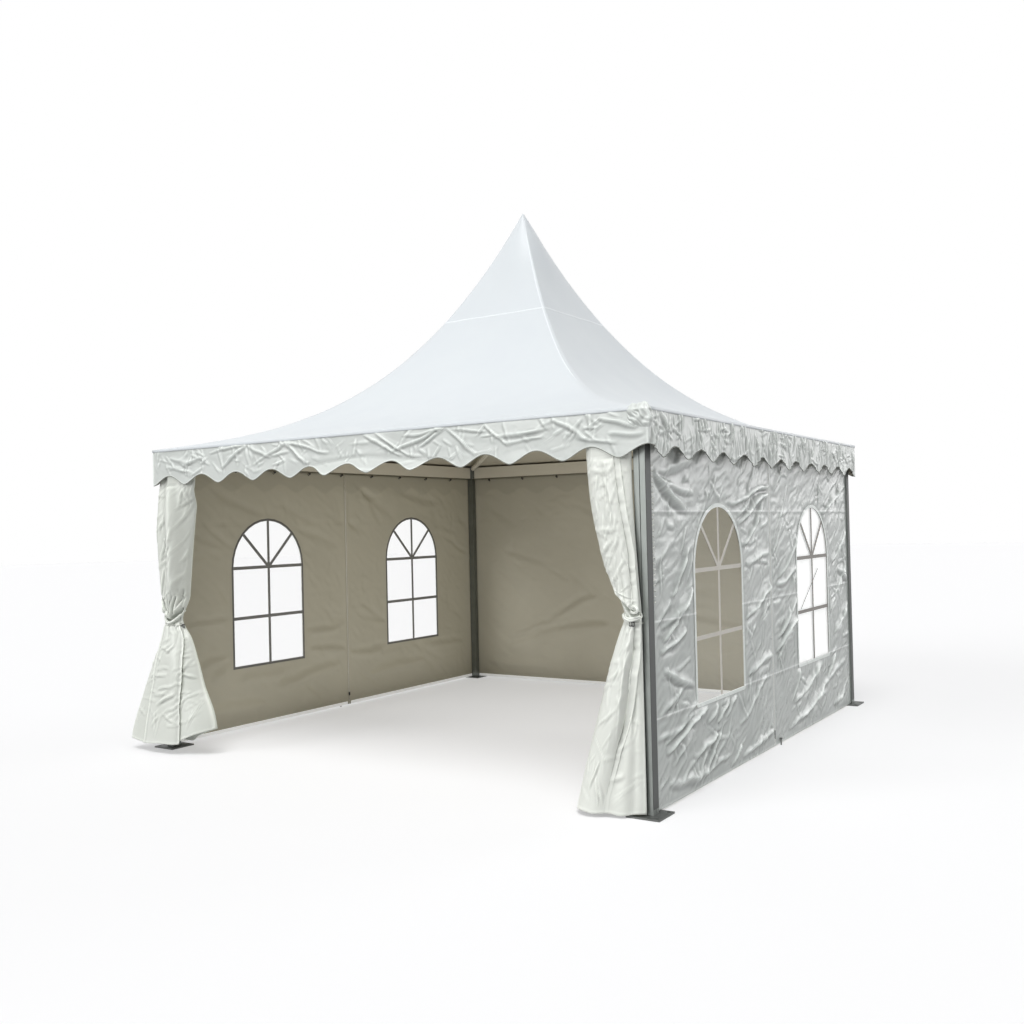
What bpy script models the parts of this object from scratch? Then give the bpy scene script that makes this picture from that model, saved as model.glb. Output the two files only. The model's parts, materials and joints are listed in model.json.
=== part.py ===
# Pagoda event tent, four metres square, modelled in metres as its separate real parts.
# It stands on z = 0, its mast is on the Z axis and its open front faces -Y.

import math

import bmesh
import bpy
from mathutils import Matrix, Vector

# Overall sizes
LEG_OUTER = 2.000  # from the mast's axis to the outer faces of the legs
EAVE_HEIGHT = 2.225  # top of the roof's rim
ROOF_RISE = 1.909  # from the rim to the point where the hips would meet
GAP = 0.0003  # between faces that touch

# Keder grooves, which hold the bead on the edge of a sheet
GROOVE_MOUTH = 0.004
GROOVE_LIP = 0.003
GROOVE_CHAMBER = 0.008
GROOVE_DEPTH = 0.009
GROOVE_INSET = 0.015  # from the leg's outer face to the middle of the groove
BEAD_CLEARANCE = 0.0005
BOSS_WALL = 0.003  # metal left round a groove

# Legs and foot plates
LEG_WIDTH = 0.070
PROFILE_WALL = 0.003
PLATE_WIDTH = 0.200
PLATE_THICKNESS = 0.010
STAKE_HOLE_RADIUS = 0.011
STAKE_HOLE_INSET = 0.026
FOOT_SPIGOT = 0.120

# Eave beams and corner brackets
BEAM_DROP = 0.115  # underside of the beams below the rim
BEAM_OVERHANG = 0.042  # beam's outer face beyond the legs'
BRACKET_ARM = 0.030  # block's inner faces beyond the legs'
BEAM_SIDE_GROOVE_DROP = 0.030
LEG_SPIGOT = 0.150
BEAM_SPIGOT = 0.100
STUB_SINK = 0.060  # how far the rafter stub starts inside its bracket

# Hip rafters and their lock pins
RAFTER_RADIUS = 0.024
RAFTER_WALL = 0.003
RAFTER_RISE = 0.309  # of the axis, from the bracket's inner corner to the mast
RAFTER_DROP = 0.016  # axis below the rim, where it crosses the bracket's inner corner
RAFTER_SETBACK = 0.040
STUB_IN_TUBE = 0.090
PIN_RADIUS = 0.005
PIN_HEAD_RADIUS = 0.009
PIN_HEAD = 0.005
PIN_END = 0.008
PIN_INSET = 0.045  # from the rafter's lower end

# Hub, mast and jack
HUB_RADIUS = 0.085
HUB_BELOW_RAFTERS = 0.078  # underside below the rafters' axes
HUB_BODY_HEIGHT = 0.140
HUB_FLOOR = 0.014
SLEEVE_RADIUS = 0.042
SLEEVE_HEIGHT = 0.170  # above the hub's body
RAFTER_HUB_GAP = 0.075  # rafter's upper end from the hub's side
MAST_RADIUS = 0.030
MAST_WALL = 0.004
MAST_CLEARANCE = 0.0008
MAST_TRAVEL = 0.140  # how far the jack lowers the mast
MAST_STOP = 0.004  # left between nut and collar when the mast is down
CAP_HEIGHT = 0.134  # mast's end to the point where the hips would meet
CAP_SKIRT = 0.040
CAP_STEPS = 5
CAP_CLEARANCE = 0.0012  # straight up to the steep sheet above it
NUT_HEIGHT = 0.034
NUT_FLANGE = 0.005
SCREW_RADIUS = 0.011
SCREW_CLEARANCE = 0.0006
SCREW_ABOVE_NUT = 0.020
COLLAR_RADIUS = 0.020
COLLAR_HEIGHT = 0.012
CRANK_DROP = 0.055
CRANK_RADIUS = 0.007
CRANK_LENGTH = 0.180
CRANK_GRIP_RADIUS = 0.011
CRANK_GRIP = 0.045

# Roof cover and valances
ROOF_THICKNESS = 0.003
ROOF_LIP = 0.008  # rim beyond the beam's outer face
HIP_CURVE = 2.98
HIP_STRAIGHT_SHARE = 0.19
PEAK_ROUNDING = 0.30
FACE_HOLLOW = 0.018
PEAK_TIP = 0.006
ROOF_RINGS = 12
ROOF_SIDE_STEPS = 8
VALANCE_THICKNESS = 0.0025
VALANCE_CLEARANCE = 0.003
VALANCE_DROP = 0.270  # lowest points of the scallops below the rim
SCALLOP_DEPTH = 0.068
SCALLOPS = 11.5  # on each side, so that a tip of one side meets the tip of the next
SCALLOP_STEPS = 8
SCALLOP_FULLNESS = 0.8  # below 1 the notches between the tips are wider than the tips

# Wall sheets
SHEET = 0.0025
WALL_FLOOR_GAP = 0.002  # above the foot plates
ZIP_GAP = 0.004
WINDOW_WIDTH = 0.780
WINDOW_CENTRE = 0.955
SILL_HEIGHT = 0.504
SPRING_HEIGHT = 1.303
CROSSBAR_HEIGHT = 0.896
ARCH_STEPS = 16
PANE_THICKNESS = 0.0015
PANE_CLEARANCE = 0.0005
BAR_WIDTH = 0.026
BAR_THICKNESS = 0.002
BORDER_OUT = 0.012
BORDER_IN = 0.008
BLIND_THICKNESS = 0.002
BLIND_LAP = 0.055  # beyond the window on all sides

# Rails and hooks
RAIL_WIDTH = 0.018
RAIL_HEIGHT = 0.010
RAIL_END_GAP = 0.004
WALL_RAIL_INSET = 0.030  # from the middle of the wall sheets inwards
FRONT_RAIL_STANDOFF = 0.0225  # middle of the rail in front of the legs
FRONT_RAIL_HEIGHT = 0.013
FRONT_RAIL_END = 0.012  # from the rail's ends to the beams' outer faces
HOOK_FIRST_INSET = 0.199  # from the rail's rear end
HOOK_LAST_INSET = 0.349
HOOK_COUNT = 9
HOOK_WIDTH = 0.010
HOOK_DROP = 0.018

# Zip sliders and wall pegs
SLIDER_HEIGHT = 0.030
SLIDER_WIDTH = 0.018
SLIDER_PLATE = 0.003
SLIDER_CLEARANCE = 0.0006
SLIDER_REST = 0.090
TAB_WIDTH = 0.009
TAB_LENGTH = 0.045
TAB_THICKNESS = 0.002
PEG_RADIUS = 0.005
PEG_HEIGHT = 0.045
PEG_HEAD_RADIUS = 0.011
PEG_HEAD = 0.005
PEG_OFFSET = 0.100

# Front curtains. Each row gives a height, the outer edge beyond the leg's outer face, the width,
# the clear space behind the folds, in front of the leg, and the depth of the folds to each side.
CURTAIN_THICKNESS = 0.008
CURTAIN_FOLDS = 3
CURTAIN_STEPS = 8  # points along each fold
CURTAIN_LEVELS = 13
HEM_FADE = 0.60  # height above which the hem's rise no longer shows
STRAP_WIDTH = 0.030
STRAP_THICKNESS = 0.003
STRAP_CLEARANCE = 0.0006
STRAP_CORNER = 0.005
LEFT_CURTAIN = {
    "stations": (
        (0.050, 0.115, 0.705, 0.035, 0.036),
        (0.400, 0.085, 0.570, 0.027, 0.034),
        (0.680, 0.020, 0.410, 0.018, 0.028),
        (0.900, -0.050, 0.215, 0.010, 0.021),
        (0.950, -0.060, 0.190, 0.008, 0.020),
        (1.000, -0.055, 0.205, 0.008, 0.020),
        (1.175, -0.025, 0.305, 0.007, 0.021),
        (1.345, -0.012, 0.348, 0.006, 0.020),
        (1.600, -0.008, 0.386, 0.004, 0.018),
        (1.950, -0.010, 0.406, 0.0055, 0.013),
    ),
    "hem": 0.050,
    "rise": (0.060, 0.130),
    "waist": 0.960,
}
RIGHT_CURTAIN = {
    "stations": (
        (0.030, -0.075, 0.365, 0.034, 0.032),
        (0.600, -0.075, 0.210, 0.021, 0.030),
        (0.850, -0.075, 0.140, 0.015, 0.026),
        (1.030, -0.075, 0.087, 0.011, 0.021),
        (1.080, -0.075, 0.072, 0.008, 0.020),
        (1.130, -0.075, 0.075, 0.008, 0.020),
        (1.230, -0.075, 0.102, 0.008, 0.020),
        (1.355, -0.075, 0.169, 0.006, 0.020),
        (1.480, -0.075, 0.209, 0.005, 0.019),
        (1.735, -0.075, 0.260, 0.006, 0.016),
        (1.985, -0.075, 0.282, 0.0055, 0.013),
    ),
    "hem": 0.030,
    "rise": (0.0, 0.030),
    "waist": 1.090,
}

# Sizes that follow
LEG_INNER = LEG_OUTER - LEG_WIDTH
LEG_CENTRE = LEG_OUTER - LEG_WIDTH / 2
BEAM_OUTER = LEG_OUTER + BEAM_OVERHANG
RIM = BEAM_OUTER + ROOF_LIP
RIM_REACH = RIM * math.sqrt(2)
BEAM_BOTTOM = EAVE_HEIGHT - BEAM_DROP
BEAM_REACH = BEAM_OUTER * math.sqrt(2)
BRACKET_INNER = LEG_INNER - BRACKET_ARM
BRACKET_REACH = BRACKET_INNER * math.sqrt(2)
GROOVE_LINE = LEG_OUTER - GROOVE_INSET
GROOVE_BOSS = GROOVE_DEPTH + BOSS_WALL
BEAD_HALF = GROOVE_CHAMBER / 2 - BEAD_CLEARANCE
WALL_BOTTOM = PLATE_THICKNESS + WALL_FLOOR_GAP
WALL_FACE = GROOVE_LINE + SHEET / 2
VALANCE_INNER = BEAM_OUTER + VALANCE_CLEARANCE
VALANCE_OUTER = VALANCE_INNER + VALANCE_THICKNESS
ARCH_RADIUS = WINDOW_WIDTH / 2
RAFTER_SLOPE = RAFTER_RISE / BRACKET_REACH
RAFTER_ANGLE = math.atan(RAFTER_SLOPE)
STUB_RADIUS = RAFTER_RADIUS - RAFTER_WALL - GAP
RAIL_TOP = BEAM_BOTTOM - GAP
WALL_RAIL_CENTRE = GROOVE_LINE - WALL_RAIL_INSET
FRONT_RAIL_CENTRE = LEG_OUTER + FRONT_RAIL_STANDOFF
FRONT_RAIL_REACH = BEAM_OUTER - FRONT_RAIL_END
CURTAIN_TOP = RAIL_TOP - FRONT_RAIL_HEIGHT - GAP
CORNERS = ("front_right", "rear_right", "rear_left", "front_left")
SIDES = ("front", "right", "rear", "left")

COLOURS = {
    "anodised": ((0.45, 0.47, 0.47), 0.40, 1.0),
    "galvanised": ((0.36, 0.37, 0.37), 0.50, 1.0),
    "zinc": ((0.55, 0.56, 0.57), 0.35, 1.0),
    "roof_vinyl": ((0.86, 0.88, 0.90), 0.45, 0.0),
    "wall_vinyl": ((0.66, 0.67, 0.66), 0.50, 0.0),
    "curtain_vinyl": ((0.80, 0.80, 0.76), 0.50, 0.0),
    "clear_vinyl": ((0.85, 0.88, 0.88), 0.08, 0.0),
    "bar_vinyl": ((0.72, 0.71, 0.68), 0.50, 0.0),
    "blind_vinyl": ((0.88, 0.88, 0.86), 0.55, 0.0),
    "nylon": ((0.12, 0.12, 0.12), 0.45, 0.0),
}


def clear_scene():
    for old in list(bpy.data.objects):
        bpy.data.objects.remove(old, do_unlink=True)


def material(name):
    found = bpy.data.materials.get(name)
    if found:
        return found
    colour, roughness, metallic = COLOURS[name]
    made = bpy.data.materials.new(name)
    made.use_nodes = True
    shader = made.node_tree.nodes["Principled BSDF"]
    shader.inputs["Base Color"].default_value = (*colour, 1.0)
    shader.inputs["Roughness"].default_value = roughness
    shader.inputs["Metallic"].default_value = metallic
    return made


def object_from(bm, name, finish):
    bmesh.ops.recalc_face_normals(bm, faces=bm.faces[:])
    mesh = bpy.data.meshes.new(name)
    bm.to_mesh(mesh)
    bm.free()
    mesh.materials.append(material(finish))
    made = bpy.data.objects.new(name, mesh)
    bpy.context.scene.collection.objects.link(made)
    return made


def place_origin(part, origin):
    # The mesh stays where it is and the object's origin goes to a joint's axis.
    part.data.transform(Matrix.Translation(-Vector(origin)))
    part.location = origin


def turned_copy(part, name, quarter_turns):
    # The same part again, turned about the mast.
    turn = Matrix.Rotation(quarter_turns * math.pi / 2, 4, "Z")
    copy = bpy.data.objects.new(name, part.data)
    copy.location = turn @ part.location
    copy.rotation_euler = (0, 0, quarter_turns * math.pi / 2)
    bpy.context.scene.collection.objects.link(copy)
    return copy


def combine(part, tool, operation="UNION"):
    change = part.modifiers.new("shape", "BOOLEAN")
    change.operation = operation
    change.solver = "EXACT"
    change.object = tool
    bpy.context.view_layer.update()
    graph = bpy.context.evaluated_depsgraph_get()
    result = bpy.data.meshes.new_from_object(part.evaluated_get(graph))
    part.modifiers.clear()
    part.data = result
    result.name = part.name
    bpy.data.objects.remove(tool, do_unlink=True)
    return part


def rectangle(low_u, high_u, low_v, high_v):
    return [(low_u, low_v), (high_u, low_v), (high_u, high_v), (low_u, high_v)]


def arc(centre_u, centre_v, radius, start, end, steps):
    points = []
    for step in range(steps + 1):
        angle = start + (end - start) * step / steps
        points.append((centre_u + radius * math.cos(angle), centre_v + radius * math.sin(angle)))
    return points


def circle(radius, steps, centre_u=0.0, centre_v=0.0):
    return arc(centre_u, centre_v, radius, 0, 2 * math.pi, steps)[:-1]


def prism(name, finish, outlines, low, high, along="Z"):
    # Extrudes a flat outline, whose later rings are holes, along one axis.
    spread = {
        "Z": lambda u, v, w: (u, v, w),
        "X": lambda u, v, w: (w, u, v),
        "Y": lambda u, v, w: (u, w, v),
    }[along]
    bm = bmesh.new()
    for outline in outlines:
        ring = [bm.verts.new(spread(u, v, low)) for u, v in outline]
        for first, second in zip(ring, ring[1:] + ring[:1]):
            bm.edges.new((first, second))
    bmesh.ops.triangle_fill(bm, edges=bm.edges[:], use_beauty=True)
    grown = bmesh.ops.extrude_face_region(bm, geom=bm.faces[:], use_keep_orig=True)
    moved = [item for item in grown["geom"] if isinstance(item, bmesh.types.BMVert)]
    bmesh.ops.translate(bm, verts=moved, vec=Vector(spread(0, 0, high - low)))
    return object_from(bm, name, finish)


def box(name, finish, low, high):
    return prism(name, finish, [rectangle(low[0], high[0], low[1], high[1])], low[2], high[2])


def turned_solid(name, finish, profile, steps):
    # Spins a closed profile of (radius, height) pairs round the Z axis, with poles where it meets it.
    bm = bmesh.new()
    rings = []
    for radius, height in profile:
        if radius == 0:
            rings.append([bm.verts.new((0, 0, height))] * steps)
        else:
            rings.append([bm.verts.new((u, v, height)) for u, v in circle(radius, steps)])
    pairs = list(zip(rings, rings[1:]))
    if profile[0][0] != 0:
        pairs.append((rings[-1], rings[0]))
    for lower, upper in pairs:
        for step in range(steps):
            after = (step + 1) % steps
            corners = [lower[step], lower[after], upper[after], upper[step]]
            corners = [v for n, v in enumerate(corners) if v not in corners[:n]]
            bm.faces.new(corners)
    return object_from(bm, name, finish)


def grooved_side(start, along, inward, places, steps):
    # One side of an outline: its corner, then the same steps in and out at each place.
    points = [start]
    for distance in places:
        for offset, depth in steps:
            reach = distance + offset
            points.append(
                (
                    start[0] + along[0] * reach + inward[0] * depth,
                    start[1] + along[1] * reach + inward[1] * depth,
                )
            )
    return points


def groove_steps():
    mouth = GROOVE_MOUTH / 2
    chamber = GROOVE_CHAMBER / 2
    half = [(mouth, 0), (mouth, GROOVE_LIP), (chamber, GROOVE_LIP), (chamber, GROOVE_DEPTH)]
    return [(-offset, depth) for offset, depth in half] + half[::-1]


def boss_steps():
    half = [(GROOVE_CHAMBER / 2 + BOSS_WALL, 0), (GROOVE_CHAMBER / 2 + BOSS_WALL, GROOVE_BOSS - PROFILE_WALL)]
    return [(-offset, depth) for offset, depth in half] + half[::-1]


def profile_outlines(low, high, places):
    # A hollow rectangular profile; places gives the grooves on its four sides, anticlockwise.
    inset = PROFILE_WALL
    outer = []
    inner = []
    sides = (
        ((low[0], low[1]), (1, 0), (0, 1)),
        ((high[0], low[1]), (0, 1), (-1, 0)),
        ((high[0], high[1]), (-1, 0), (0, -1)),
        ((low[0], high[1]), (0, -1), (1, 0)),
    )
    for (start, along, inward), grooves in zip(sides, places):
        outer += grooved_side(start, along, inward, grooves, groove_steps())
        shifted = (start[0] + (along[0] + inward[0]) * inset, start[1] + (along[1] + inward[1]) * inset)
        inner += grooved_side(shifted, along, inward, [g - inset for g in grooves], boss_steps())
    return [outer, inner]


def hip_height(reach):
    # Height of the roof's hips at a distance from the mast.
    out = 1 - reach / RIM_REACH
    curve = (1 - HIP_STRAIGHT_SHARE) * out**HIP_CURVE + HIP_STRAIGHT_SHARE * out
    return EAVE_HEIGHT + ROOF_RISE * curve


def roof_depth(reach):
    # The sheet's thickness measured straight down.
    step = 0.001
    slope = (hip_height(reach) - hip_height(reach - step)) / step
    return ROOF_THICKNESS * math.sqrt(1 + slope * slope)


def roof_inside(reach):
    return hip_height(reach) - roof_depth(reach)


BEAM_TOP = roof_inside(BEAM_REACH) - GAP
VALANCE_TOP = roof_inside(RIM_REACH) - GAP
VALANCE_TIP = EAVE_HEIGHT - VALANCE_DROP


def rafter_height(reach):
    return EAVE_HEIGHT - RAFTER_DROP + RAFTER_SLOPE * (BRACKET_REACH - reach)


HUB_BOTTOM = rafter_height(HUB_RADIUS) - HUB_BELOW_RAFTERS
HUB_BODY_TOP = HUB_BOTTOM + HUB_BODY_HEIGHT
SLEEVE_TOP = HUB_BODY_TOP + SLEEVE_HEIGHT
COLLAR_TOP = HUB_BOTTOM + HUB_FLOOR + GAP + COLLAR_HEIGHT
MAST_BOTTOM = COLLAR_TOP + MAST_STOP + MAST_TRAVEL + NUT_FLANGE + GAP
MAST_TOP = EAVE_HEIGHT + ROOF_RISE - CAP_HEIGHT


def lay_on_rafter(part, start_reach):
    # Turns a part built along +Z onto the front right hip, pointing up towards the mast.
    lean = Matrix.Rotation(-(math.pi / 2 - RAFTER_ANGLE), 4, "Y")
    turn = Matrix.Rotation(-math.pi / 4, 4, "Z")
    shift = Matrix.Translation((start_reach, 0, rafter_height(start_reach)))
    part.data.transform(turn @ shift @ lean)
    return part


def along_rafter(reach_start, reach_end):
    return (reach_start - reach_end) / math.cos(RAFTER_ANGLE)


def pin_cutter(start_reach, radius):
    # A hole for the lock pin across a part of the front right hip, which starts at start_reach.
    height = along_rafter(start_reach, BRACKET_REACH - RAFTER_SETBACK - PIN_INSET)
    half = RAFTER_RADIUS + PIN_END
    cutter = prism("pin_cutter", "zinc", [circle(radius, 10)], -half, half)
    cutter.data.transform(Matrix.Translation((0, 0, height)) @ Matrix.Rotation(math.pi / 2, 4, "X"))
    return lay_on_rafter(cutter, start_reach)


def make_legs():
    # Square aluminium profiles, with the wall grooves on their inner faces and one in each outer face.
    half = LEG_WIDTH / 2
    inset = GROOVE_INSET
    outlines = profile_outlines(
        (-half, -half),
        (half, half),
        ([half], [half], [inset], [LEG_WIDTH - inset]),
    )
    leg = prism("leg_front_right", "anodised", outlines, PLATE_THICKNESS + GAP, BEAM_BOTTOM - GAP)
    leg.location = (LEG_CENTRE, -LEG_CENTRE, 0)
    for turns in range(1, 4):
        turned_copy(leg, "leg_" + CORNERS[turns], turns)


def make_foot_plates():
    # Steel base plates with stake holes and a spigot that stands inside the leg.
    half = PLATE_WIDTH / 2
    hole = half - STAKE_HOLE_INSET
    outlines = [rectangle(-half, half, -half, half)]
    for side_u in (-1, 1):
        for side_v in (-1, 1):
            outlines.append(circle(STAKE_HOLE_RADIUS, 12, side_u * hole, side_v * hole))
    plate = prism("foot_plate_front_right", "galvanised", outlines, 0, PLATE_THICKNESS)
    spigot = LEG_WIDTH / 2 - GROOVE_BOSS - GAP
    post = box(
        "post",
        "galvanised",
        (-spigot, -spigot, PLATE_THICKNESS / 2),
        (spigot, spigot, PLATE_THICKNESS + FOOT_SPIGOT),
    )
    combine(plate, post)
    plate.location = (LEG_CENTRE, -LEG_CENTRE, 0)
    for turns in range(1, 4):
        turned_copy(plate, "foot_plate_" + CORNERS[turns], turns)


def make_eave_beams():
    # Hollow profiles between the corner brackets, with grooves below for a wall and outside for the roof.
    outlines = profile_outlines(
        (-BEAM_OUTER, BEAM_BOTTOM),
        (-LEG_INNER, BEAM_TOP),
        ([BEAM_OUTER - GROOVE_LINE], [], [], [BEAM_SIDE_GROOVE_DROP]),
    )
    reach = BRACKET_INNER - GAP
    beam = prism("eave_beam_front", "anodised", outlines, -reach, reach, "X")
    for turns in range(1, 4):
        turned_copy(beam, "eave_beam_" + SIDES[turns], turns)


def make_corner_brackets():
    # Cast corner blocks with spigots into the leg and both beams and a stub for the rafter.
    bracket = box(
        "corner_bracket_front_right",
        "galvanised",
        (BRACKET_INNER, -BEAM_OUTER, BEAM_BOTTOM),
        (BEAM_OUTER, -BRACKET_INNER, BEAM_TOP),
    )
    half = LEG_WIDTH / 2 - GROOVE_BOSS - GAP
    overlap = LEG_WIDTH / 4
    leg_spigot = box(
        "spigot",
        "galvanised",
        (LEG_CENTRE - half, -LEG_CENTRE - half, BEAM_BOTTOM - LEG_SPIGOT),
        (LEG_CENTRE + half, -LEG_CENTRE + half, BEAM_BOTTOM + overlap),
    )
    combine(bracket, leg_spigot)
    near = LEG_INNER + PROFILE_WALL + GAP
    far = BEAM_OUTER - GROOVE_BOSS - GAP
    low = BEAM_BOTTOM + GROOVE_BOSS + GAP
    high = BEAM_TOP - PROFILE_WALL - GAP
    across = (BRACKET_INNER - BEAM_SPIGOT, BRACKET_INNER + overlap)
    combine(bracket, box("spigot", "galvanised", (across[0], -far, low), (across[1], -near, high)))
    combine(bracket, box("spigot", "galvanised", (near, -across[1], low), (far, -across[0], high)))
    start = BRACKET_REACH + STUB_SINK
    end = BRACKET_REACH - RAFTER_SETBACK - STUB_IN_TUBE
    stub = prism("stub", "galvanised", [circle(STUB_RADIUS, 16)], 0, along_rafter(start, end))
    combine(bracket, lay_on_rafter(stub, start))
    combine(bracket, pin_cutter(start, PIN_RADIUS + GAP), "DIFFERENCE")
    for turns in range(1, 4):
        turned_copy(bracket, "corner_bracket_" + CORNERS[turns], turns)


def make_hip_rafters():
    # Tubes that climb from the corners to the hub, each locked by a pin at its lower end.
    start = BRACKET_REACH - RAFTER_SETBACK
    end = HUB_RADIUS + RAFTER_HUB_GAP
    tube = [circle(RAFTER_RADIUS, 16), circle(RAFTER_RADIUS - RAFTER_WALL, 16)]
    rafter = prism("hip_rafter_front_right", "anodised", tube, 0, along_rafter(start, end))
    lay_on_rafter(rafter, start)
    combine(rafter, pin_cutter(start, PIN_RADIUS + GAP), "DIFFERENCE")
    half = RAFTER_RADIUS + GAP
    profile = [
        (0, -half - PIN_END),
        (PIN_RADIUS, -half - PIN_END),
        (PIN_RADIUS, half),
        (PIN_HEAD_RADIUS, half),
        (PIN_HEAD_RADIUS, half + PIN_HEAD),
        (0, half + PIN_HEAD),
    ]
    pin = turned_solid("lock_pin_front_right", "zinc", profile, 10)
    lift = Matrix.Translation((0, 0, along_rafter(start, start - PIN_INSET)))
    pin.data.transform(lift @ Matrix.Rotation(math.pi / 2, 4, "X"))
    lay_on_rafter(pin, start)
    for turns in range(1, 4):
        turned_copy(rafter, "hip_rafter_" + CORNERS[turns], turns)
        turned_copy(pin, "lock_pin_" + CORNERS[turns], turns)


def make_centre_hub():
    # A steel hub: stubs for the rafters, a sleeve that guides the mast and a floor that carries the jack.
    bore = MAST_RADIUS + MAST_CLEARANCE
    profile = [
        (SCREW_RADIUS + SCREW_CLEARANCE, HUB_BOTTOM),
        (HUB_RADIUS, HUB_BOTTOM),
        (HUB_RADIUS, HUB_BODY_TOP),
        (SLEEVE_RADIUS, HUB_BODY_TOP),
        (SLEEVE_RADIUS, SLEEVE_TOP),
        (bore, SLEEVE_TOP),
        (bore, HUB_BOTTOM + HUB_FLOOR),
        (SCREW_RADIUS + SCREW_CLEARANCE, HUB_BOTTOM + HUB_FLOOR),
    ]
    hub = turned_solid("centre_hub", "galvanised", profile, 24)
    start = HUB_RADIUS + RAFTER_HUB_GAP + STUB_IN_TUBE
    end = HUB_RADIUS - MAST_RADIUS / 2
    for turns in range(4):
        stub = prism("stub", "galvanised", [circle(STUB_RADIUS, 16)], 0, along_rafter(start, end))
        lay_on_rafter(stub, start)
        stub.data.transform(Matrix.Rotation(turns * math.pi / 2, 4, "Z"))
        combine(hub, stub)


def make_mast():
    # The mast tube, the nut fixed in its foot and the cap that carries the roof's peak.
    inner = MAST_RADIUS - MAST_WALL
    mast = prism("king_mast", "anodised", [circle(MAST_RADIUS, 24), circle(inner, 24)], MAST_BOTTOM, MAST_TOP)
    place_origin(mast, (0, 0, MAST_BOTTOM))

    nut_radius = inner - GAP
    bore = SCREW_RADIUS + SCREW_CLEARANCE
    low = MAST_BOTTOM - GAP
    nut_profile = [
        (bore, low - NUT_FLANGE),
        (MAST_RADIUS, low - NUT_FLANGE),
        (MAST_RADIUS, low),
        (nut_radius, low),
        (nut_radius, low - NUT_FLANGE + NUT_HEIGHT),
        (bore, low - NUT_FLANGE + NUT_HEIGHT),
    ]
    nut = turned_solid("jack_nut", "zinc", nut_profile, 24)
    place_origin(nut, (0, 0, MAST_BOTTOM))

    cap_profile = [
        (0, MAST_TOP - CAP_SKIRT),
        (nut_radius, MAST_TOP - CAP_SKIRT),
        (nut_radius, MAST_TOP + GAP),
        (MAST_RADIUS, MAST_TOP + GAP),
    ]
    for step in range(CAP_STEPS, 0, -1):
        reach = MAST_RADIUS * step / CAP_STEPS
        cap_profile.append((reach, roof_inside(max(reach, PEAK_TIP)) - CAP_CLEARANCE))
    cap_profile.append((0, roof_inside(PEAK_TIP) - CAP_CLEARANCE))
    cap = turned_solid("mast_cap", "nylon", cap_profile, 24)
    place_origin(cap, (0, 0, MAST_BOTTOM))


def make_jack_screw():
    # The screw turns in the hub's floor between two collars, and its cross handle hangs below.
    rod_top = MAST_BOTTOM - NUT_FLANGE + NUT_HEIGHT + SCREW_ABOVE_NUT
    collar_low = HUB_BOTTOM - GAP
    collar_high = HUB_BOTTOM + HUB_FLOOR + GAP
    profile = [
        (0, HUB_BOTTOM - CRANK_DROP - CRANK_GRIP_RADIUS),
        (SCREW_RADIUS, HUB_BOTTOM - CRANK_DROP - CRANK_GRIP_RADIUS),
        (SCREW_RADIUS, collar_low - COLLAR_HEIGHT),
        (COLLAR_RADIUS, collar_low - COLLAR_HEIGHT),
        (COLLAR_RADIUS, collar_low),
        (SCREW_RADIUS, collar_low),
        (SCREW_RADIUS, collar_high),
        (COLLAR_RADIUS, collar_high),
        (COLLAR_RADIUS, COLLAR_TOP),
        (SCREW_RADIUS, COLLAR_TOP),
        (SCREW_RADIUS, rod_top),
        (0, rod_top),
    ]
    screw = turned_solid("jack_screw", "zinc", profile, 16)
    half = CRANK_LENGTH / 2
    bar_profile = [
        (0, -half),
        (CRANK_GRIP_RADIUS, -half),
        (CRANK_GRIP_RADIUS, -half + CRANK_GRIP),
        (CRANK_RADIUS, -half + CRANK_GRIP),
        (CRANK_RADIUS, half - CRANK_GRIP),
        (CRANK_GRIP_RADIUS, half - CRANK_GRIP),
        (CRANK_GRIP_RADIUS, half),
        (0, half),
    ]
    bar = turned_solid("bar", "zinc", bar_profile, 12)
    level = Matrix.Translation((0, 0, HUB_BOTTOM - CRANK_DROP))
    bar.data.transform(level @ Matrix.Rotation(math.pi / 2, 4, "Y"))
    combine(screw, bar)
    place_origin(screw, (0, 0, HUB_BOTTOM))


def roof_ring(reach):
    # Points round the roof at one height: square at the eaves, hollow between the hips, round at the peak.
    roundness = math.exp(-((reach / PEAK_ROUNDING) ** 2))
    share = reach / RIM_REACH
    hollow = FACE_HOLLOW * 4 * share * (1 - share)
    points = []
    for side in range(4):
        for step in range(ROOF_SIDE_STEPS):
            along = -1 + 2 * step / ROOF_SIDE_STEPS
            angle = side * math.pi / 2 + math.atan(along)
            square = reach / math.sqrt(2) / math.cos(math.atan(along))
            straight = square * (1 - hollow * (1 - along * along))
            radius = roundness * reach + (1 - roundness) * straight
            points.append((radius * math.cos(angle), radius * math.sin(angle)))
    return points


def make_roof_cover():
    # One tensioned sheet as a closed shell, open underneath.
    reaches = [PEAK_TIP]
    for ring in range(1, ROOF_RINGS):
        reaches.append(RIM_REACH * (ring / ROOF_RINGS) ** 1.5)
    reaches += [BEAM_REACH, RIM_REACH]
    count = 4 * ROOF_SIDE_STEPS
    bm = bmesh.new()
    outside = []
    inside = []
    for reach in reaches:
        ring = roof_ring(reach)
        outside.append([bm.verts.new((x, y, hip_height(reach))) for x, y in ring])
        inside.append([bm.verts.new((x, y, roof_inside(reach))) for x, y in ring])
    for layer in (outside, inside):
        centre = bm.verts.new((0, 0, layer[0][0].co.z))
        for step in range(count):
            after = (step + 1) % count
            bm.faces.new((centre, layer[0][step], layer[0][after]))
            for lower, upper in zip(layer, layer[1:]):
                bm.faces.new((lower[step], upper[step], upper[after], lower[after]))
    for step in range(count):
        after = (step + 1) % count
        bm.faces.new((outside[-1][step], inside[-1][step], inside[-1][after], outside[-1][after]))
    return object_from(bm, "roof_cover", "roof_vinyl")


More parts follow.
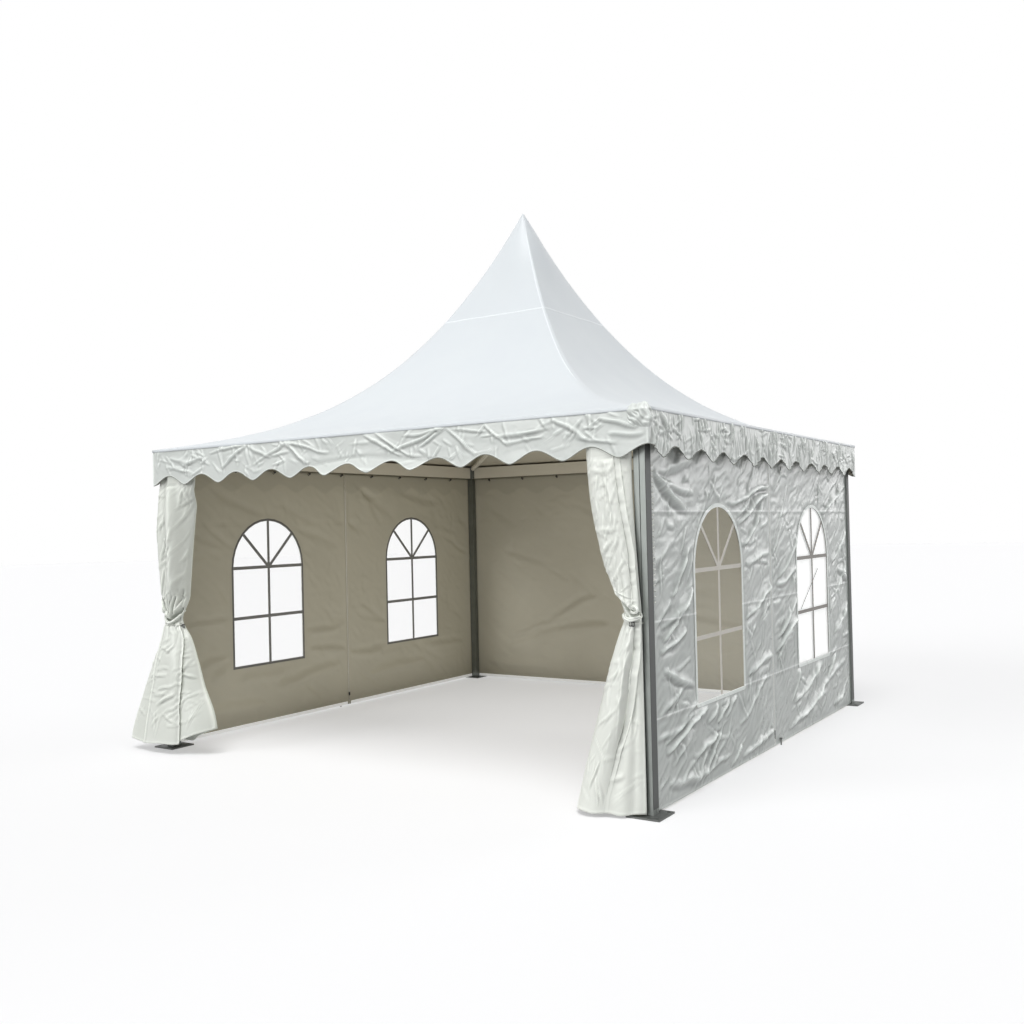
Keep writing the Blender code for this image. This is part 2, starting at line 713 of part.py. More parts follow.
def valance_outline(reach, notch_end):
    # Straight on top and a wave below, which starts with a notch at one end and ends with a tip.
    steps = round(SCALLOPS * SCALLOP_STEPS)
    points = []
    for step in range(steps + 1):
        along = step / steps
        wave = (1 + math.cos(2 * math.pi * SCALLOPS * along)) / 2
        height = VALANCE_TIP + SCALLOP_DEPTH * wave**SCALLOP_FULLNESS
        points.append((notch_end * reach * (1 - 2 * along), height))
    points += [(-notch_end * reach, VALANCE_TOP), (notch_end * reach, VALANCE_TOP)]
    return points


def make_valances():
    # The front and rear strips run past the ends of the side strips.
    long_strip = prism(
        "valance_front",
        "wall_vinyl",
        [valance_outline(VALANCE_OUTER, 1)],
        -VALANCE_OUTER,
        -VALANCE_INNER,
        "Y",
    )
    turned_copy(long_strip, "valance_rear", 2)
    short_strip = prism(
        "valance_right",
        "wall_vinyl",
        [valance_outline(VALANCE_INNER - GAP, -1)],
        VALANCE_INNER,
        VALANCE_OUTER,
        "X",
    )
    turned_copy(short_strip, "valance_left", 2)


def window_outline(grow):
    # Straight sides and a half-round head, grown or shrunk evenly.
    half = WINDOW_WIDTH / 2 + grow
    head = arc(WINDOW_CENTRE, SPRING_HEIGHT, ARCH_RADIUS + grow, 0, math.pi, ARCH_STEPS)
    low = SILL_HEIGHT - grow
    return [(WINDOW_CENTRE - half, low), (WINDOW_CENTRE + half, low)] + head


def pane_lights():
    # The clear lights between the bars: four square ones, then four in the fan.
    half = BAR_WIDTH / 2
    edge = WINDOW_WIDTH / 2 - BORDER_IN
    rows = (
        (SILL_HEIGHT + BORDER_IN, CROSSBAR_HEIGHT - half),
        (CROSSBAR_HEIGHT + half, SPRING_HEIGHT - half),
    )
    lights = []
    for low, high in rows:
        lights.append(rectangle(WINDOW_CENTRE - edge, WINDOW_CENTRE - half, low, high))
        lights.append(rectangle(WINDOW_CENTRE + half, WINDOW_CENTRE + edge, low, high))
    radius = ARCH_RADIUS - BORDER_IN
    spread = math.pi / 4
    point_reach = half / math.sin(spread / 2)
    trim = math.asin(half / radius)
    for sector in range(4):
        start = sector * spread
        middle = start + spread / 2
        point = (
            WINDOW_CENTRE + point_reach * math.cos(middle),
            SPRING_HEIGHT + point_reach * math.sin(middle),
        )
        sweep = arc(WINDOW_CENTRE, SPRING_HEIGHT, radius, start + trim, start + spread - trim, 4)
        lights.append([point] + sweep)
    return lights


def mirrored(outline):
    return [(-u, v) for u, v in outline]


def wall_sheet(name, low, high, holes):
    # A wall sheet at x = GROOVE_LINE between two ends, each of them a zip's edge or None for a leg.
    # A bead runs in the leg's groove at such an end, and another in the beam's groove on top.
    half = SHEET / 2
    near = GROOVE_LIP + BEAD_CLEARANCE
    far = GROOVE_DEPTH - BEAD_CLEARANCE
    leg_top = BEAM_BOTTOM - BEAD_CLEARANCE
    beam_reach = BRACKET_INNER - BEAD_CLEARANCE
    beads = []
    corners = []
    for end, sign in ((high, 1), (low, -1)):
        if end is None:
            edge = sign * (LEG_INNER + near + half)
            notch = sign * beam_reach
            corners.append([(edge, WALL_BOTTOM), (edge, leg_top), (notch, leg_top), (notch, BEAM_BOTTOM + near + half)])
            across = sorted((sign * (LEG_INNER + near), sign * (LEG_INNER + far)))
            beads.append((across[0], across[1], WALL_BOTTOM, leg_top))
        else:
            notch = end
            corners.append([(end, WALL_BOTTOM), (end, BEAM_BOTTOM + near + half)])
        beads.append((notch, BEAM_BOTTOM + near, BEAM_BOTTOM + far))
    top_ends = sorted(bead[0] for bead in beads if len(bead) == 3)
    beads = [bead for bead in beads if len(bead) == 4]
    beads.append((top_ends[0], top_ends[1], BEAM_BOTTOM + near, BEAM_BOTTOM + far))
    outline = corners[0] + corners[1][::-1]
    sheet = prism(name, "wall_vinyl", [outline] + holes, GROOVE_LINE - half, GROOVE_LINE + half, "X")
    for start, end, bottom, top in beads:
        bead = box(
            "bead",
            "wall_vinyl",
            (GROOVE_LINE - BEAD_HALF, start, bottom),
            (GROOVE_LINE + BEAD_HALF, end, top),
        )
        combine(sheet, bead)
    return sheet


def make_walls():
    # Each side wall is two panels that a zip joins; the rear wall is one sheet.
    opening = window_outline(0)
    rear_panel = wall_sheet("right_wall_rear_panel", ZIP_GAP / 2, None, [opening])
    front_panel = wall_sheet("right_wall_front_panel", None, -ZIP_GAP / 2, [mirrored(opening)])
    turned_copy(rear_panel, "left_wall_front_panel", 2)
    turned_copy(front_panel, "left_wall_rear_panel", 2)
    rear = wall_sheet("rear_wall", None, None, [])
    rear.rotation_euler = (0, 0, math.pi / 2)


def make_windows():
    # Clear panes set in the walls, each with a lattice of bars on its outer face.
    low = GROOVE_LINE - PANE_THICKNESS / 2
    bar_low = WALL_FACE + GAP
    ends = (("rear", "front", lambda outline: outline), ("front", "rear", mirrored))
    for right_end, left_end, turn in ends:
        pane = prism(
            "window_pane_right_" + right_end,
            "clear_vinyl",
            [turn(window_outline(-PANE_CLEARANCE))],
            low,
            low + PANE_THICKNESS,
            "X",
        )
        turned_copy(pane, "window_pane_left_" + left_end, 2)
        bars = prism(
            "window_bars_right_" + right_end,
            "bar_vinyl",
            [turn(window_outline(BORDER_OUT))] + [turn(light) for light in pane_lights()],
            bar_low,
            bar_low + BAR_THICKNESS,
            "X",
        )
        turned_copy(bars, "window_bars_left_" + left_end, 2)


def make_blind():
    # A sheet let down inside the rear window of the right wall, flat against the wall's inner face.
    half = WINDOW_WIDTH / 2 + BLIND_LAP
    outline = rectangle(
        WINDOW_CENTRE - half,
        WINDOW_CENTRE + half,
        SILL_HEIGHT - BLIND_LAP,
        SPRING_HEIGHT + ARCH_RADIUS + BLIND_LAP,
    )
    face = GROOVE_LINE - SHEET / 2 - GAP
    prism("window_blind_right_rear", "blind_vinyl", [outline], face - BLIND_THICKNESS, face, "X")


def make_rails():
    # The wall rails carry a row of hooks; the front rail is plain and carries the curtains.
    reach = LEG_INNER - RAIL_END_GAP
    low = RAIL_TOP - RAIL_HEIGHT
    outline = [(reach, low), (reach, RAIL_TOP), (-reach, RAIL_TOP), (-reach, low)]
    first = reach - HOOK_FIRST_INSET
    pitch = (first + reach - HOOK_LAST_INSET) / (HOOK_COUNT - 1)
    for hook in reversed(range(HOOK_COUNT)):
        centre = first - hook * pitch
        half = HOOK_WIDTH / 2
        outline.append((centre - half, low))
        outline.append((centre - half, RAIL_TOP - HOOK_DROP))
        outline.append((centre + half, RAIL_TOP - HOOK_DROP))
        outline.append((centre + half, low))
    start = WALL_RAIL_CENTRE - RAIL_WIDTH / 2
    rail = prism("wall_rail_right", "anodised", [outline], start, start + RAIL_WIDTH, "X")
    turned_copy(rail, "wall_rail_rear", 1)
    turned_copy(rail, "wall_rail_left", 2)
    box(
        "curtain_rail",
        "anodised",
        (-FRONT_RAIL_REACH, -FRONT_RAIL_CENTRE - RAIL_WIDTH / 2, RAIL_TOP - FRONT_RAIL_HEIGHT),
        (FRONT_RAIL_REACH, -FRONT_RAIL_CENTRE + RAIL_WIDTH / 2, RAIL_TOP),
    )


def make_zip_sliders():
    # Two plates joined through the gap between the panels, with a pull tab outside.
    web = ZIP_GAP / 2 - SLIDER_CLEARANCE
    near = SHEET / 2 + SLIDER_CLEARANCE
    far = near + SLIDER_PLATE
    half = SLIDER_WIDTH / 2
    outline = [
        (GROOVE_LINE - far, -half),
        (GROOVE_LINE - near, -half),
        (GROOVE_LINE - near, -web),
        (GROOVE_LINE + near, -web),
        (GROOVE_LINE + near, -half),
        (GROOVE_LINE + far, -half),
        (GROOVE_LINE + far, half),
        (GROOVE_LINE + near, half),
        (GROOVE_LINE + near, web),
        (GROOVE_LINE - near, web),
        (GROOVE_LINE - near, half),
        (GROOVE_LINE - far, half),
    ]
    slider = prism("zip_slider_right", "nylon", [outline], SLIDER_REST, SLIDER_REST + SLIDER_HEIGHT)
    tab_start = GROOVE_LINE + far - TAB_THICKNESS / 2
    tab = box(
        "tab",
        "nylon",
        (tab_start, -TAB_WIDTH / 2, SLIDER_REST + SLIDER_HEIGHT / 2 - TAB_LENGTH),
        (tab_start + TAB_THICKNESS, TAB_WIDTH / 2, SLIDER_REST + SLIDER_HEIGHT / 2),
    )
    combine(slider, tab)
    place_origin(slider, (GROOVE_LINE, 0, SLIDER_REST))
    turned_copy(slider, "zip_slider_left", 2)


def make_wall_pegs():
    # Short pegs beside the zips, which hold the loop on the hem; the ground cuts them off at z = 0.
    profile = [
        (0, 0),
        (PEG_RADIUS, 0),
        (PEG_RADIUS, PEG_HEIGHT),
        (PEG_HEAD_RADIUS, PEG_HEIGHT),
        (PEG_HEAD_RADIUS, PEG_HEIGHT + PEG_HEAD),
        (0, PEG_HEIGHT + PEG_HEAD),
    ]
    peg = turned_solid("wall_peg_right", "galvanised", profile, 12)
    peg.location = (WALL_FACE + GAP + PEG_HEAD_RADIUS, PEG_OFFSET, 0)
    turned_copy(peg, "wall_peg_left", 2)


def station_at(stations, height):
    # The row of sizes at a height, eased between the rows of the table.
    if height <= stations[0][0]:
        return stations[0][1:]
    for lower, upper in zip(stations, stations[1:]):
        if height <= upper[0]:
            share = (height - lower[0]) / (upper[0] - lower[0])
            return tuple(a + (b - a) * share for a, b in zip(lower[1:], upper[1:]))
    return stations[-1][1:]


def curtain_heights(shape):
    # Levels from hem to rail, with the tied waist kept between two of them.
    waist = shape["waist"]
    below = CURTAIN_LEVELS // 2
    above = CURTAIN_LEVELS - below
    band = STRAP_WIDTH
    heights = [shape["hem"] + (waist - band - shape["hem"]) * step / (below - 1) for step in range(below)]
    heights += [waist + band + (CURTAIN_TOP - waist - band) * step / (above - 1) for step in range(above)]
    return heights


def curtain_form(shape, sign, height):
    # The outer edge, the inner edge, the middle of the folds and their depth at a height.
    outer, width, space, depth = station_at(shape["stations"], height)
    edge = LEG_OUTER + outer
    middle = LEG_OUTER + space + depth + CURTAIN_THICKNESS / 2
    return sign * edge, sign * (edge - width), -middle, depth


def make_curtain(side, sign, shape):
    # A gathered curtain as a folded sheet: full at the rail, tied at the waist and flared at the hem.
    count = CURTAIN_FOLDS * CURTAIN_STEPS
    waist_form = curtain_form(shape, sign, shape["waist"])
    levels = []
    bm = bmesh.new()
    for height in curtain_heights(shape):
        tied = abs(height - shape["waist"]) <= STRAP_WIDTH + GAP
        outer, inner, middle, depth = waist_form if tied else curtain_form(shape, sign, height)
        fade = max(0.0, 1 - height / HEM_FADE)
        front = []
        back = []
        for step in range(count + 1):
            along = step / count
            wave = depth * math.sin(2 * math.pi * CURTAIN_FOLDS * along)
            lift = fade * (shape["rise"][0] * (1 - along) ** 2 + shape["rise"][1] * along**2)
            x = outer + (inner - outer) * along
            front.append(bm.verts.new((x, middle + wave - CURTAIN_THICKNESS / 2, height + lift)))
            back.append(bm.verts.new((x, middle + wave + CURTAIN_THICKNESS / 2, height + lift)))
        levels.append((front, back))
    for (front, back), (front_up, back_up) in zip(levels, levels[1:]):
        for step in range(count):
            bm.faces.new((front[step], front[step + 1], front_up[step + 1], front_up[step]))
            bm.faces.new((back[step + 1], back[step], back_up[step], back_up[step + 1]))
        bm.faces.new((front[0], front_up[0], back_up[0], back[0]))
        bm.faces.new((front[-1], back[-1], back_up[-1], front_up[-1]))
    for front, back in (levels[0], levels[-1]):
        for step in range(count):
            bm.faces.new((front[step], back[step], back[step + 1], front[step + 1]))
    curtain = object_from(bm, "curtain_" + side, "curtain_vinyl")

    outer, inner, middle, depth = waist_form
    origin = ((outer + inner) / 2, -FRONT_RAIL_CENTRE, CURTAIN_TOP)
    place_origin(curtain, origin)
    reach_u = abs(outer - inner) / 2 + STRAP_CLEARANCE
    reach_v = depth + CURTAIN_THICKNESS / 2 + STRAP_CLEARANCE
    rings = []
    for grow in (STRAP_THICKNESS, 0):
        ring = []
        for quarter, (sign_u, sign_v) in enumerate(((1, 1), (-1, 1), (-1, -1), (1, -1))):
            centre_u = origin[0] + sign_u * (reach_u - STRAP_CORNER)
            centre_v = middle + sign_v * (reach_v - STRAP_CORNER)
            start = quarter * math.pi / 2
            ring += arc(centre_u, centre_v, STRAP_CORNER + grow, start, start + math.pi / 2, 3)
        rings.append(ring)
    low = shape["waist"] - STRAP_WIDTH / 2
    strap = prism("tie_strap_" + side, "curtain_vinyl", rings, low, low + STRAP_WIDTH)
    place_origin(strap, origin)


def main():
    clear_scene()
    make_legs()
    make_foot_plates()
    make_eave_beams()
    make_corner_brackets()
    make_hip_rafters()
    make_centre_hub()
    make_mast()
    make_jack_screw()
    make_roof_cover()
    make_valances()
    make_walls()
    make_windows()
    make_blind()
    make_rails()
    make_zip_sliders()
    make_wall_pegs()
    make_curtain("left", -1, LEFT_CURTAIN)
    make_curtain("right", 1, RIGHT_CURTAIN)


main()
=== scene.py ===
# Pagoda event tent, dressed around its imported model. Metres, +Z up, the open front faces -Y.
import json
import math

import bpy
import numpy as np
from mathutils import Matrix, Vector


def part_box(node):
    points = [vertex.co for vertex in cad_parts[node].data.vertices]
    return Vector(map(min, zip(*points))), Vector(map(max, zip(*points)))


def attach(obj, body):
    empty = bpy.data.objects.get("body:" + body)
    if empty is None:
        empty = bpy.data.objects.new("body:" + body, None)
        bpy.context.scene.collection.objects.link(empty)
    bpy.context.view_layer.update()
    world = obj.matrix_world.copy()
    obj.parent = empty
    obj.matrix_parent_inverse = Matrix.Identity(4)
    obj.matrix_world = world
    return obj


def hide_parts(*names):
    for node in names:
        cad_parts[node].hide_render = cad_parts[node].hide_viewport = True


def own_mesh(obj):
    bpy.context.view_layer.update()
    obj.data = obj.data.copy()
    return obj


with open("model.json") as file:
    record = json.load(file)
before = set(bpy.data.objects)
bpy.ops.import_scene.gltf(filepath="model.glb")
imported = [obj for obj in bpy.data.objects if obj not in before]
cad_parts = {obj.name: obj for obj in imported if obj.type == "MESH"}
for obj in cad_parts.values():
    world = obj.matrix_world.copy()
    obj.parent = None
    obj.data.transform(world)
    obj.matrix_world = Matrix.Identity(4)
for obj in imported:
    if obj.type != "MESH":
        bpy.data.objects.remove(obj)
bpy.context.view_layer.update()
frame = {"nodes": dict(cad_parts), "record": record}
scene = bpy.context.scene


# Sizes that several pieces share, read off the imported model
legLow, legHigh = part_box("leg_front_right")
legInside, legFace = legLow.x, legHigh.x
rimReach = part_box("roof_cover")[1].x
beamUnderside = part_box("eave_beam_front")[0].z
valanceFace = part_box("valance_right")[1].x
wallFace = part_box("right_wall_front_panel")[1].x
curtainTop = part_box("curtain_left")[1].z


def metres(rows):
    # the tables of folds and outlines are written in millimetres
    return [tuple(value / 1000 for value in row) for row in rows]


# Noise and folds, as numbers on arrays of points

def latticeAngle(column, row, seed):
    mixed = np.sin(column * 127.1 + row * 311.7 + seed * 74.7) * 43758.5453
    return 2 * np.pi * (mixed - np.floor(mixed))


def clothNoise(u, v, seed):
    # gradient noise from about -1 to 1, one lattice step to a unit
    column, row = np.floor(u), np.floor(v)
    fu, fv = u - column, v - row
    su = fu**3 * (fu * (fu * 6 - 15) + 10)
    sv = fv**3 * (fv * (fv * 6 - 15) + 10)
    corners = []
    for dv in (0, 1):
        for du in (0, 1):
            angle = latticeAngle(column + du, row + dv, seed)
            corners.append(np.cos(angle) * (fu - du) + np.sin(angle) * (fv - dv))
    low = corners[0] + su * (corners[1] - corners[0])
    high = corners[2] + su * (corners[3] - corners[2])
    return 1.4 * (low + sv * (high - low))


def foldField(u, v, degrees, across, along, seed):
    # long folds in one direction, with sharp crests and round valleys, from about -1 to 1
    angle = math.radians(degrees)
    run = u * math.cos(angle) + v * math.sin(angle)
    side = v * math.cos(angle) - u * math.sin(angle)
    side = side + 0.45 * across * clothNoise(run / along * 1.7, side / across * 0.35, seed + 5)
    wave = clothNoise(run / along, side / across, seed)
    return 1 - 2.4 * np.sqrt(wave * wave + 0.004)


def ease(value, low, high):
    # 0 below low, 1 above high, smooth between
    share = np.clip((value - low) / (high - low), 0, 1)
    return share * share * (3 - 2 * share)


def crest(distance, width):
    # a rounded crest or crease across its line
    return np.exp(-(distance / width) ** 2)


def foldStrokes(u, v, strokes):
    # single folds: start and end points, half width and height; a sharp crest with a dip on its right
    relief = np.zeros_like(u)
    for u0, v0, u1, v1, width, height in strokes:
        length = math.hypot(u1 - u0, v1 - v0)
        du, dv = (u1 - u0) / length, (v1 - v0) / length
        reach = 4 * width
        near = (u > min(u0, u1) - reach) & (u < max(u0, u1) + reach)
        near &= (v > min(v0, v1) - reach) & (v < max(v0, v1) + reach)
        run = ((u[near] - u0) * du + (v[near] - v0) * dv) / length
        taper = np.sqrt(np.clip(4 * run * (1 - run), 0, 1))
        side = ((v[near] - v0) * du - (u[near] - u0) * dv) / (width * (0.35 + 0.65 * taper))
        shape = np.exp(-np.abs(side) ** 1.25) - 0.45 * np.exp(-(((side + 1.7) / 0.9) ** 2))
        relief[near] += height * taper * shape
    return relief


def scatterFolds(seed, count, low, high, lean, size):
    # random folds in a rectangle: lean is their angle and its spread, size is length, half width and height
    random = np.random.default_rng(seed)
    folds = []
    for _ in range(count):
        angle = math.radians(random.normal(*lean))
        half = size[0] * random.uniform(0.25, 0.65)
        du, dv = half * math.cos(angle), half * math.sin(angle)
        u, v = random.uniform(low[0], high[0]), random.uniform(low[1], high[1])
        width, height = size[1] * random.uniform(0.6, 1.4), size[2] * random.uniform(0.4, 1.2)
        folds.append((u - du, v - dv, u + du, v + dv, width, height))
    return folds


def bent(u, v, amount, period, seed):
    # moves points a little, so that straight folds come out bent
    a, b = u / period, v / period
    return u + amount * clothNoise(a, b, seed), v + amount * clothNoise(a + 9, b + 4, seed)


# Meshes

def gridFaces(rows, columns):
    first = (np.arange(rows - 1)[:, None] * columns + np.arange(columns - 1)[None, :]).ravel()
    return np.stack([first, first + 1, first + columns + 1, first + columns], 1).tolist()


def addObject(name, data):
    holder = bpy.data.objects.new(name, data)
    scene.collection.objects.link(holder)
    return holder


def addPiece(name, points, faces, finishes, body="root"):
    mesh = bpy.data.meshes.new(name)
    mesh.from_pydata(np.asarray(points, float).reshape(-1, 3).tolist(), [], faces)
    for finish in finishes:
        mesh.materials.append(finish)
    mesh.shade_smooth()
    piece = addObject(name, mesh)
    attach(piece, body)
    return piece


def addThickness(piece, thickness):
    # closes a sheet into a thin shell behind its face; a second finish is the lining on its back faces,
    # painted darker as shade where they face the tent's inside
    shell = piece.modifiers.new("thickness", "SOLIDIFY")
    shell.thickness = thickness
    shell.offset = -1
    shell.material_offset = len(piece.data.materials) - 1
    bpy.context.view_layer.update()
    final = bpy.data.meshes.new_from_object(piece.evaluated_get(bpy.context.evaluated_depsgraph_get()))
    piece.modifiers.clear()
    piece.data = final
    final.name = piece.name


def quarterTurn(points, turns):
    # turns points about the mast, as the model's own pieces are
    angle = turns * math.pi / 2
    x, y, z = points[..., 0], points[..., 1], points[..., 2]
    cos, sin = round(math.cos(angle)), round(math.sin(angle))
    return np.stack([x * cos - y * sin, x * sin + y * cos, z], -1)


def sweep(path, profile, up=(0, 0, 1)):
    # carries a profile along a path and closes its ends; the profile's first axis lies across path and up
    path = np.asarray(path, float)
    tangent = np.gradient(path, axis=0)
    tangent /= np.linalg.norm(tangent, axis=1, keepdims=True)
    across = np.cross(tangent, up)
    across /= np.linalg.norm(across, axis=1, keepdims=True)
    rise = np.cross(across, tangent)
    sides = len(profile)
    points = np.stack([path + a * across + r * rise for a, r in profile], 1).reshape(-1, 3)
    faces = [list(range(sides)), [(len(path) - 1) * sides + step for step in range(sides)][::-1]]
    for low in range(0, (len(path) - 1) * sides, sides):
        for step in range(sides):
            after = (step + 1) % sides
            faces.append([low + step, low + sides + step, low + sides + after, low + after])
    return points, faces


def roundProfile(radius, sides=8):
    steps = [2 * math.pi * step / sides for step in range(sides)]
    return [(radius * math.cos(angle), radius * math.sin(angle)) for angle in steps]


def stripProfile(halfWidth, halfThickness, chamfer):
    w, t, c = halfWidth, halfThickness, chamfer
    half = [(w, c - t), (w, t - c), (w - c, t), (c - w, t)]
    return half + [(-a, -b) for a, b in half]


def joined(parts):
    # several small meshes as one set of points and faces
    points, faces, start = [], [], 0
    for partPoints, partFaces in parts:
        points.append(partPoints)
        faces += [[start + index for index in face] for face in partFaces]
        start += len(partPoints)
    return np.concatenate(points), faces


def addTrim(name, parts, turns, finish, body="root"):
    points, faces = joined(parts)
    trim = addPiece(name, quarterTurn(points, turns), faces, [finish], body)
    trim.data.shade_flat()
    return trim


# Materials

def linearFromHex(code):
    channels = [int(code[place:place + 2], 16) / 255 for place in (1, 3, 5)]
    return [c / 12.92 if c <= 0.04045 else ((c + 0.055) / 1.055) ** 2.4 for c in channels] + [1.0]


def addNode(tree, kind, inputs=None, **settings):
    # adds one node, sets its properties, and fills or links its sockets; a node stands for its first output
    node = tree.nodes.new(kind)
    for name, value in settings.items():
        setattr(node, name, value)
    for socket, value in (inputs or {}).items():
        if isinstance(value, bpy.types.Node):
            value = next(output for output in value.outputs if output.enabled)
        if isinstance(value, bpy.types.NodeSocket):
            tree.links.new(value, node.inputs[socket])
        else:
            node.inputs[socket].default_value = value
    return node


def newMaterial(name):
    made = bpy.data.materials.new(name)
    made.use_nodes = True
    made.node_tree.nodes.clear()
    return made, made.node_tree


def cloudedMaterial(name, colour, worn, scale, roughness=0.5):
    # the start of a finish: where a point lies on the object, a noise there, and the tint between two colours
    made, tree = newMaterial(name)
    place = addNode(tree, "ShaderNodeTexCoord").outputs["Object"]
    cloud = addNode(
        tree, "ShaderNodeTexNoise", {"Vector": place, "Scale": scale, "Detail": 4.0, "Roughness": roughness},
    )
    colours = {"Factor": cloud, "A": linearFromHex(colour), "B": linearFromHex(worn)}
    return made, tree, place, cloud, addNode(tree, "ShaderNodeMix", colours, data_type="RGBA")


coatedSheet = {
    "threadPitch": 5.0,  # mm between the drawn threads, as coarse as the render can show
    "crinkle": 26.0,  # mm across the small creases of handled vinyl
    "cloud": 420.0,  # mm across the patches of dust and wear
    "valleyToCrest": (0.44, 0.56),  # pointiness, which is 0.5 where the sheet is flat
    "weldHalf": (0.003, 0.008),  # half width of a weld line, and where it has faded out
    "weldWhite": (0.52, "#f7f9f8"),
}
valanceWave = {
    "waves": 11.5,
    "tip": 1.955,
    "depth": 0.068,
    "fullness": 0.8,
    "shadeRise": 0.03,  # the painted shadow on the wall lies this much lower
    "shadeEdge": (-0.010, 0.012),
    "shade": (0.13, "#5e564a"),
}


def paintedShadowBand(tree, tint, place, axis, notchEnd):
    # a painted shadow: the lining is darkened above a wavy line, where the valance outside shades the top of
    # the wall and its wavy edge shows through from inside
    apart = addNode(tree, "ShaderNodeSeparateXYZ", {"Vector": place})
    whole, half = math.pi * valanceWave["waves"], valanceWave["depth"] / 2
    turn = {0: apart.outputs[axis], 1: -notchEnd * whole / valanceFace, 2: whole}
    wave = addNode(tree, "ShaderNodeMath", turn, operation="MULTIPLY_ADD")
    wave = addNode(tree, "ShaderNodeMath", {0: wave}, operation="COSINE")
    line = {0: wave, 1: half, 2: valanceWave["tip"] - valanceWave["shadeRise"] + half}
    line = addNode(tree, "ShaderNodeMath", line, operation="MULTIPLY_ADD")
    above = addNode(tree, "ShaderNodeMath", {0: apart.outputs["Z"], 1: line}, operation="SUBTRACT")
    low, high = valanceWave["shadeEdge"]
    strength, colour = valanceWave["shade"]
    shade = addNode(
        tree, "ShaderNodeMapRange",
        {"Value": above, "From Min": low, "From Max": high, "To Min": 0.0, "To Max": strength},
    )
    return addNode(
        tree, "ShaderNodeMix", {"Factor": shade, "A": tint, "B": linearFromHex(colour)}, data_type="RGBA",
    )


def weldLines(tree, tint, place, heights):
    # heat-sealed laps, pressed smooth and a little whiter than the sheet
    height = addNode(tree, "ShaderNodeSeparateXYZ", {"Vector": place}).outputs["Z"]
    low, high = coatedSheet["weldHalf"]
    strength, colour = coatedSheet["weldWhite"]
    for level in heights:
        away = addNode(tree, "ShaderNodeMath", {0: height, 1: level}, operation="SUBTRACT")
        away = addNode(tree, "ShaderNodeMath", {0: away}, operation="ABSOLUTE")
        near = addNode(
            tree, "ShaderNodeMapRange",
            {"Value": away, "From Min": low, "From Max": high, "To Min": strength, "To Max": 0.0},
        )
        tint = addNode(
            tree, "ShaderNodeMix", {"Factor": near, "A": tint, "B": linearFromHex(colour)}, data_type="RGBA",
        )
    return tint


def coatedVinyl(
    name, face, dust, roughness, crinkleDepth, sheer=0.0, welds=(), band=None, paintedCreaseShade=0.0, glow=0.0,
):
    # PVC-coated polyester, calendered: an even, slightly milky skin that shines softly on its creases;
    # glow is painted light: an even white emission that stands in for the light from behind that thin vinyl
    # lets through
    made, tree, place, cloud, tint = cloudedMaterial(name, face, dust, 1000 / coatedSheet["cloud"], 0.6)
    if welds:
        tint = weldLines(tree, tint, place, welds)
    # band paints the valance's shadow into the lining's colour: painted shadow
    if band:
        tint = paintedShadowBand(tree, tint, place, *band)
    if paintedCreaseShade:
        # painted highlight and shade: crests are painted lighter and valleys darker, by the sheet's
        # pointiness
        curve = addNode(tree, "ShaderNodeNewGeometry").outputs["Pointiness"]
        low, high = coatedSheet["valleyToCrest"]
        creaseShade = addNode(
            tree, "ShaderNodeMapRange",
            {"Value": curve, "From Min": low, "From Max": high, "To Min": 1 - paintedCreaseShade, "To Max": 1 + paintedCreaseShade},
        )
        tint = addNode(tree, "ShaderNodeVectorMath", {0: tint, "Scale": creaseShade}, operation="SCALE")
    crinkle = addNode(
        tree, "ShaderNodeTexNoise",
        {"Vector": place, "Scale": 1000 / coatedSheet["crinkle"] / 2.5, "Detail": 3.0, "Distortion": 0.6},
        noise_type="RIDGED_MULTIFRACTAL",
    )
    weave = addNode(
        tree, "ShaderNodeTexVoronoi",
        {"Vector": place, "Scale": 1000 / coatedSheet["threadPitch"], "Randomness": 0.15},
        feature="F1", distance="CHEBYCHEV",
    )
    threads = addNode(tree, "ShaderNodeBump", {"Height": weave, "Strength": 0.05, "Distance": 0.0006})
    crumpled = addNode(
        tree, "ShaderNodeBump",
        {"Height": crinkle, "Normal": threads, "Strength": crinkleDepth, "Distance": 0.003},
    )
    gloss = addNode(
        tree, "ShaderNodeMapRange", {"Value": cloud, "To Min": roughness - 0.06, "To Max": roughness + 0.08},
    )
    look = {"Base Color": tint, "Roughness": gloss, "IOR": 1.52, "Normal": crumpled}
    # painted light: an emission makes the vinyl glow, though it is no lamp
    if glow:
        look.update({"Emission Color": linearFromHex("#ffffff"), "Emission Strength": glow})
    skin = addNode(tree, "ShaderNodeBsdfPrincipled", look)
    if sheer:
        lit = addNode(tree, "ShaderNodeBsdfTranslucent", {"Color": tint})
        skin = addNode(tree, "ShaderNodeMixShader", {0: sheer, 1: skin, 2: lit})
    addNode(tree, "ShaderNodeOutputMaterial", {"Surface": skin})
    return made


def metalFinish(name, colour, worn, roughness, grain, depth, stretch=(1, 1, 1)):
    # satin metal: fine lines that pull the highlight out, with duller patches; stretch draws the lines long
    made, tree, place, _, tint = cloudedMaterial(name, colour, worn, 9.0)
    drawn = addNode(tree, "ShaderNodeMapping", {"Vector": place, "Scale": stretch})
    lines = addNode(tree, "ShaderNodeTexNoise", {"Vector": drawn, "Scale": 1000 / grain, "Detail": 5.0})
    gloss = addNode(
        tree, "ShaderNodeMapRange", {"Value": lines, "To Min": roughness - 0.10, "To Max": roughness + 0.12},
    )
    edge = addNode(tree, "ShaderNodeBevel", {"Radius": 0.0012}, samples=4)
    bump = addNode(
        tree, "ShaderNodeBump", {"Height": lines, "Normal": edge, "Strength": depth, "Distance": 0.0008},
    )
    look = {"Base Color": tint, "Roughness": gloss, "Metallic": 1.0, "Normal": bump}
    skin = addNode(tree, "ShaderNodeBsdfPrincipled", look)
    addNode(tree, "ShaderNodeOutputMaterial", {"Surface": skin})
    return made


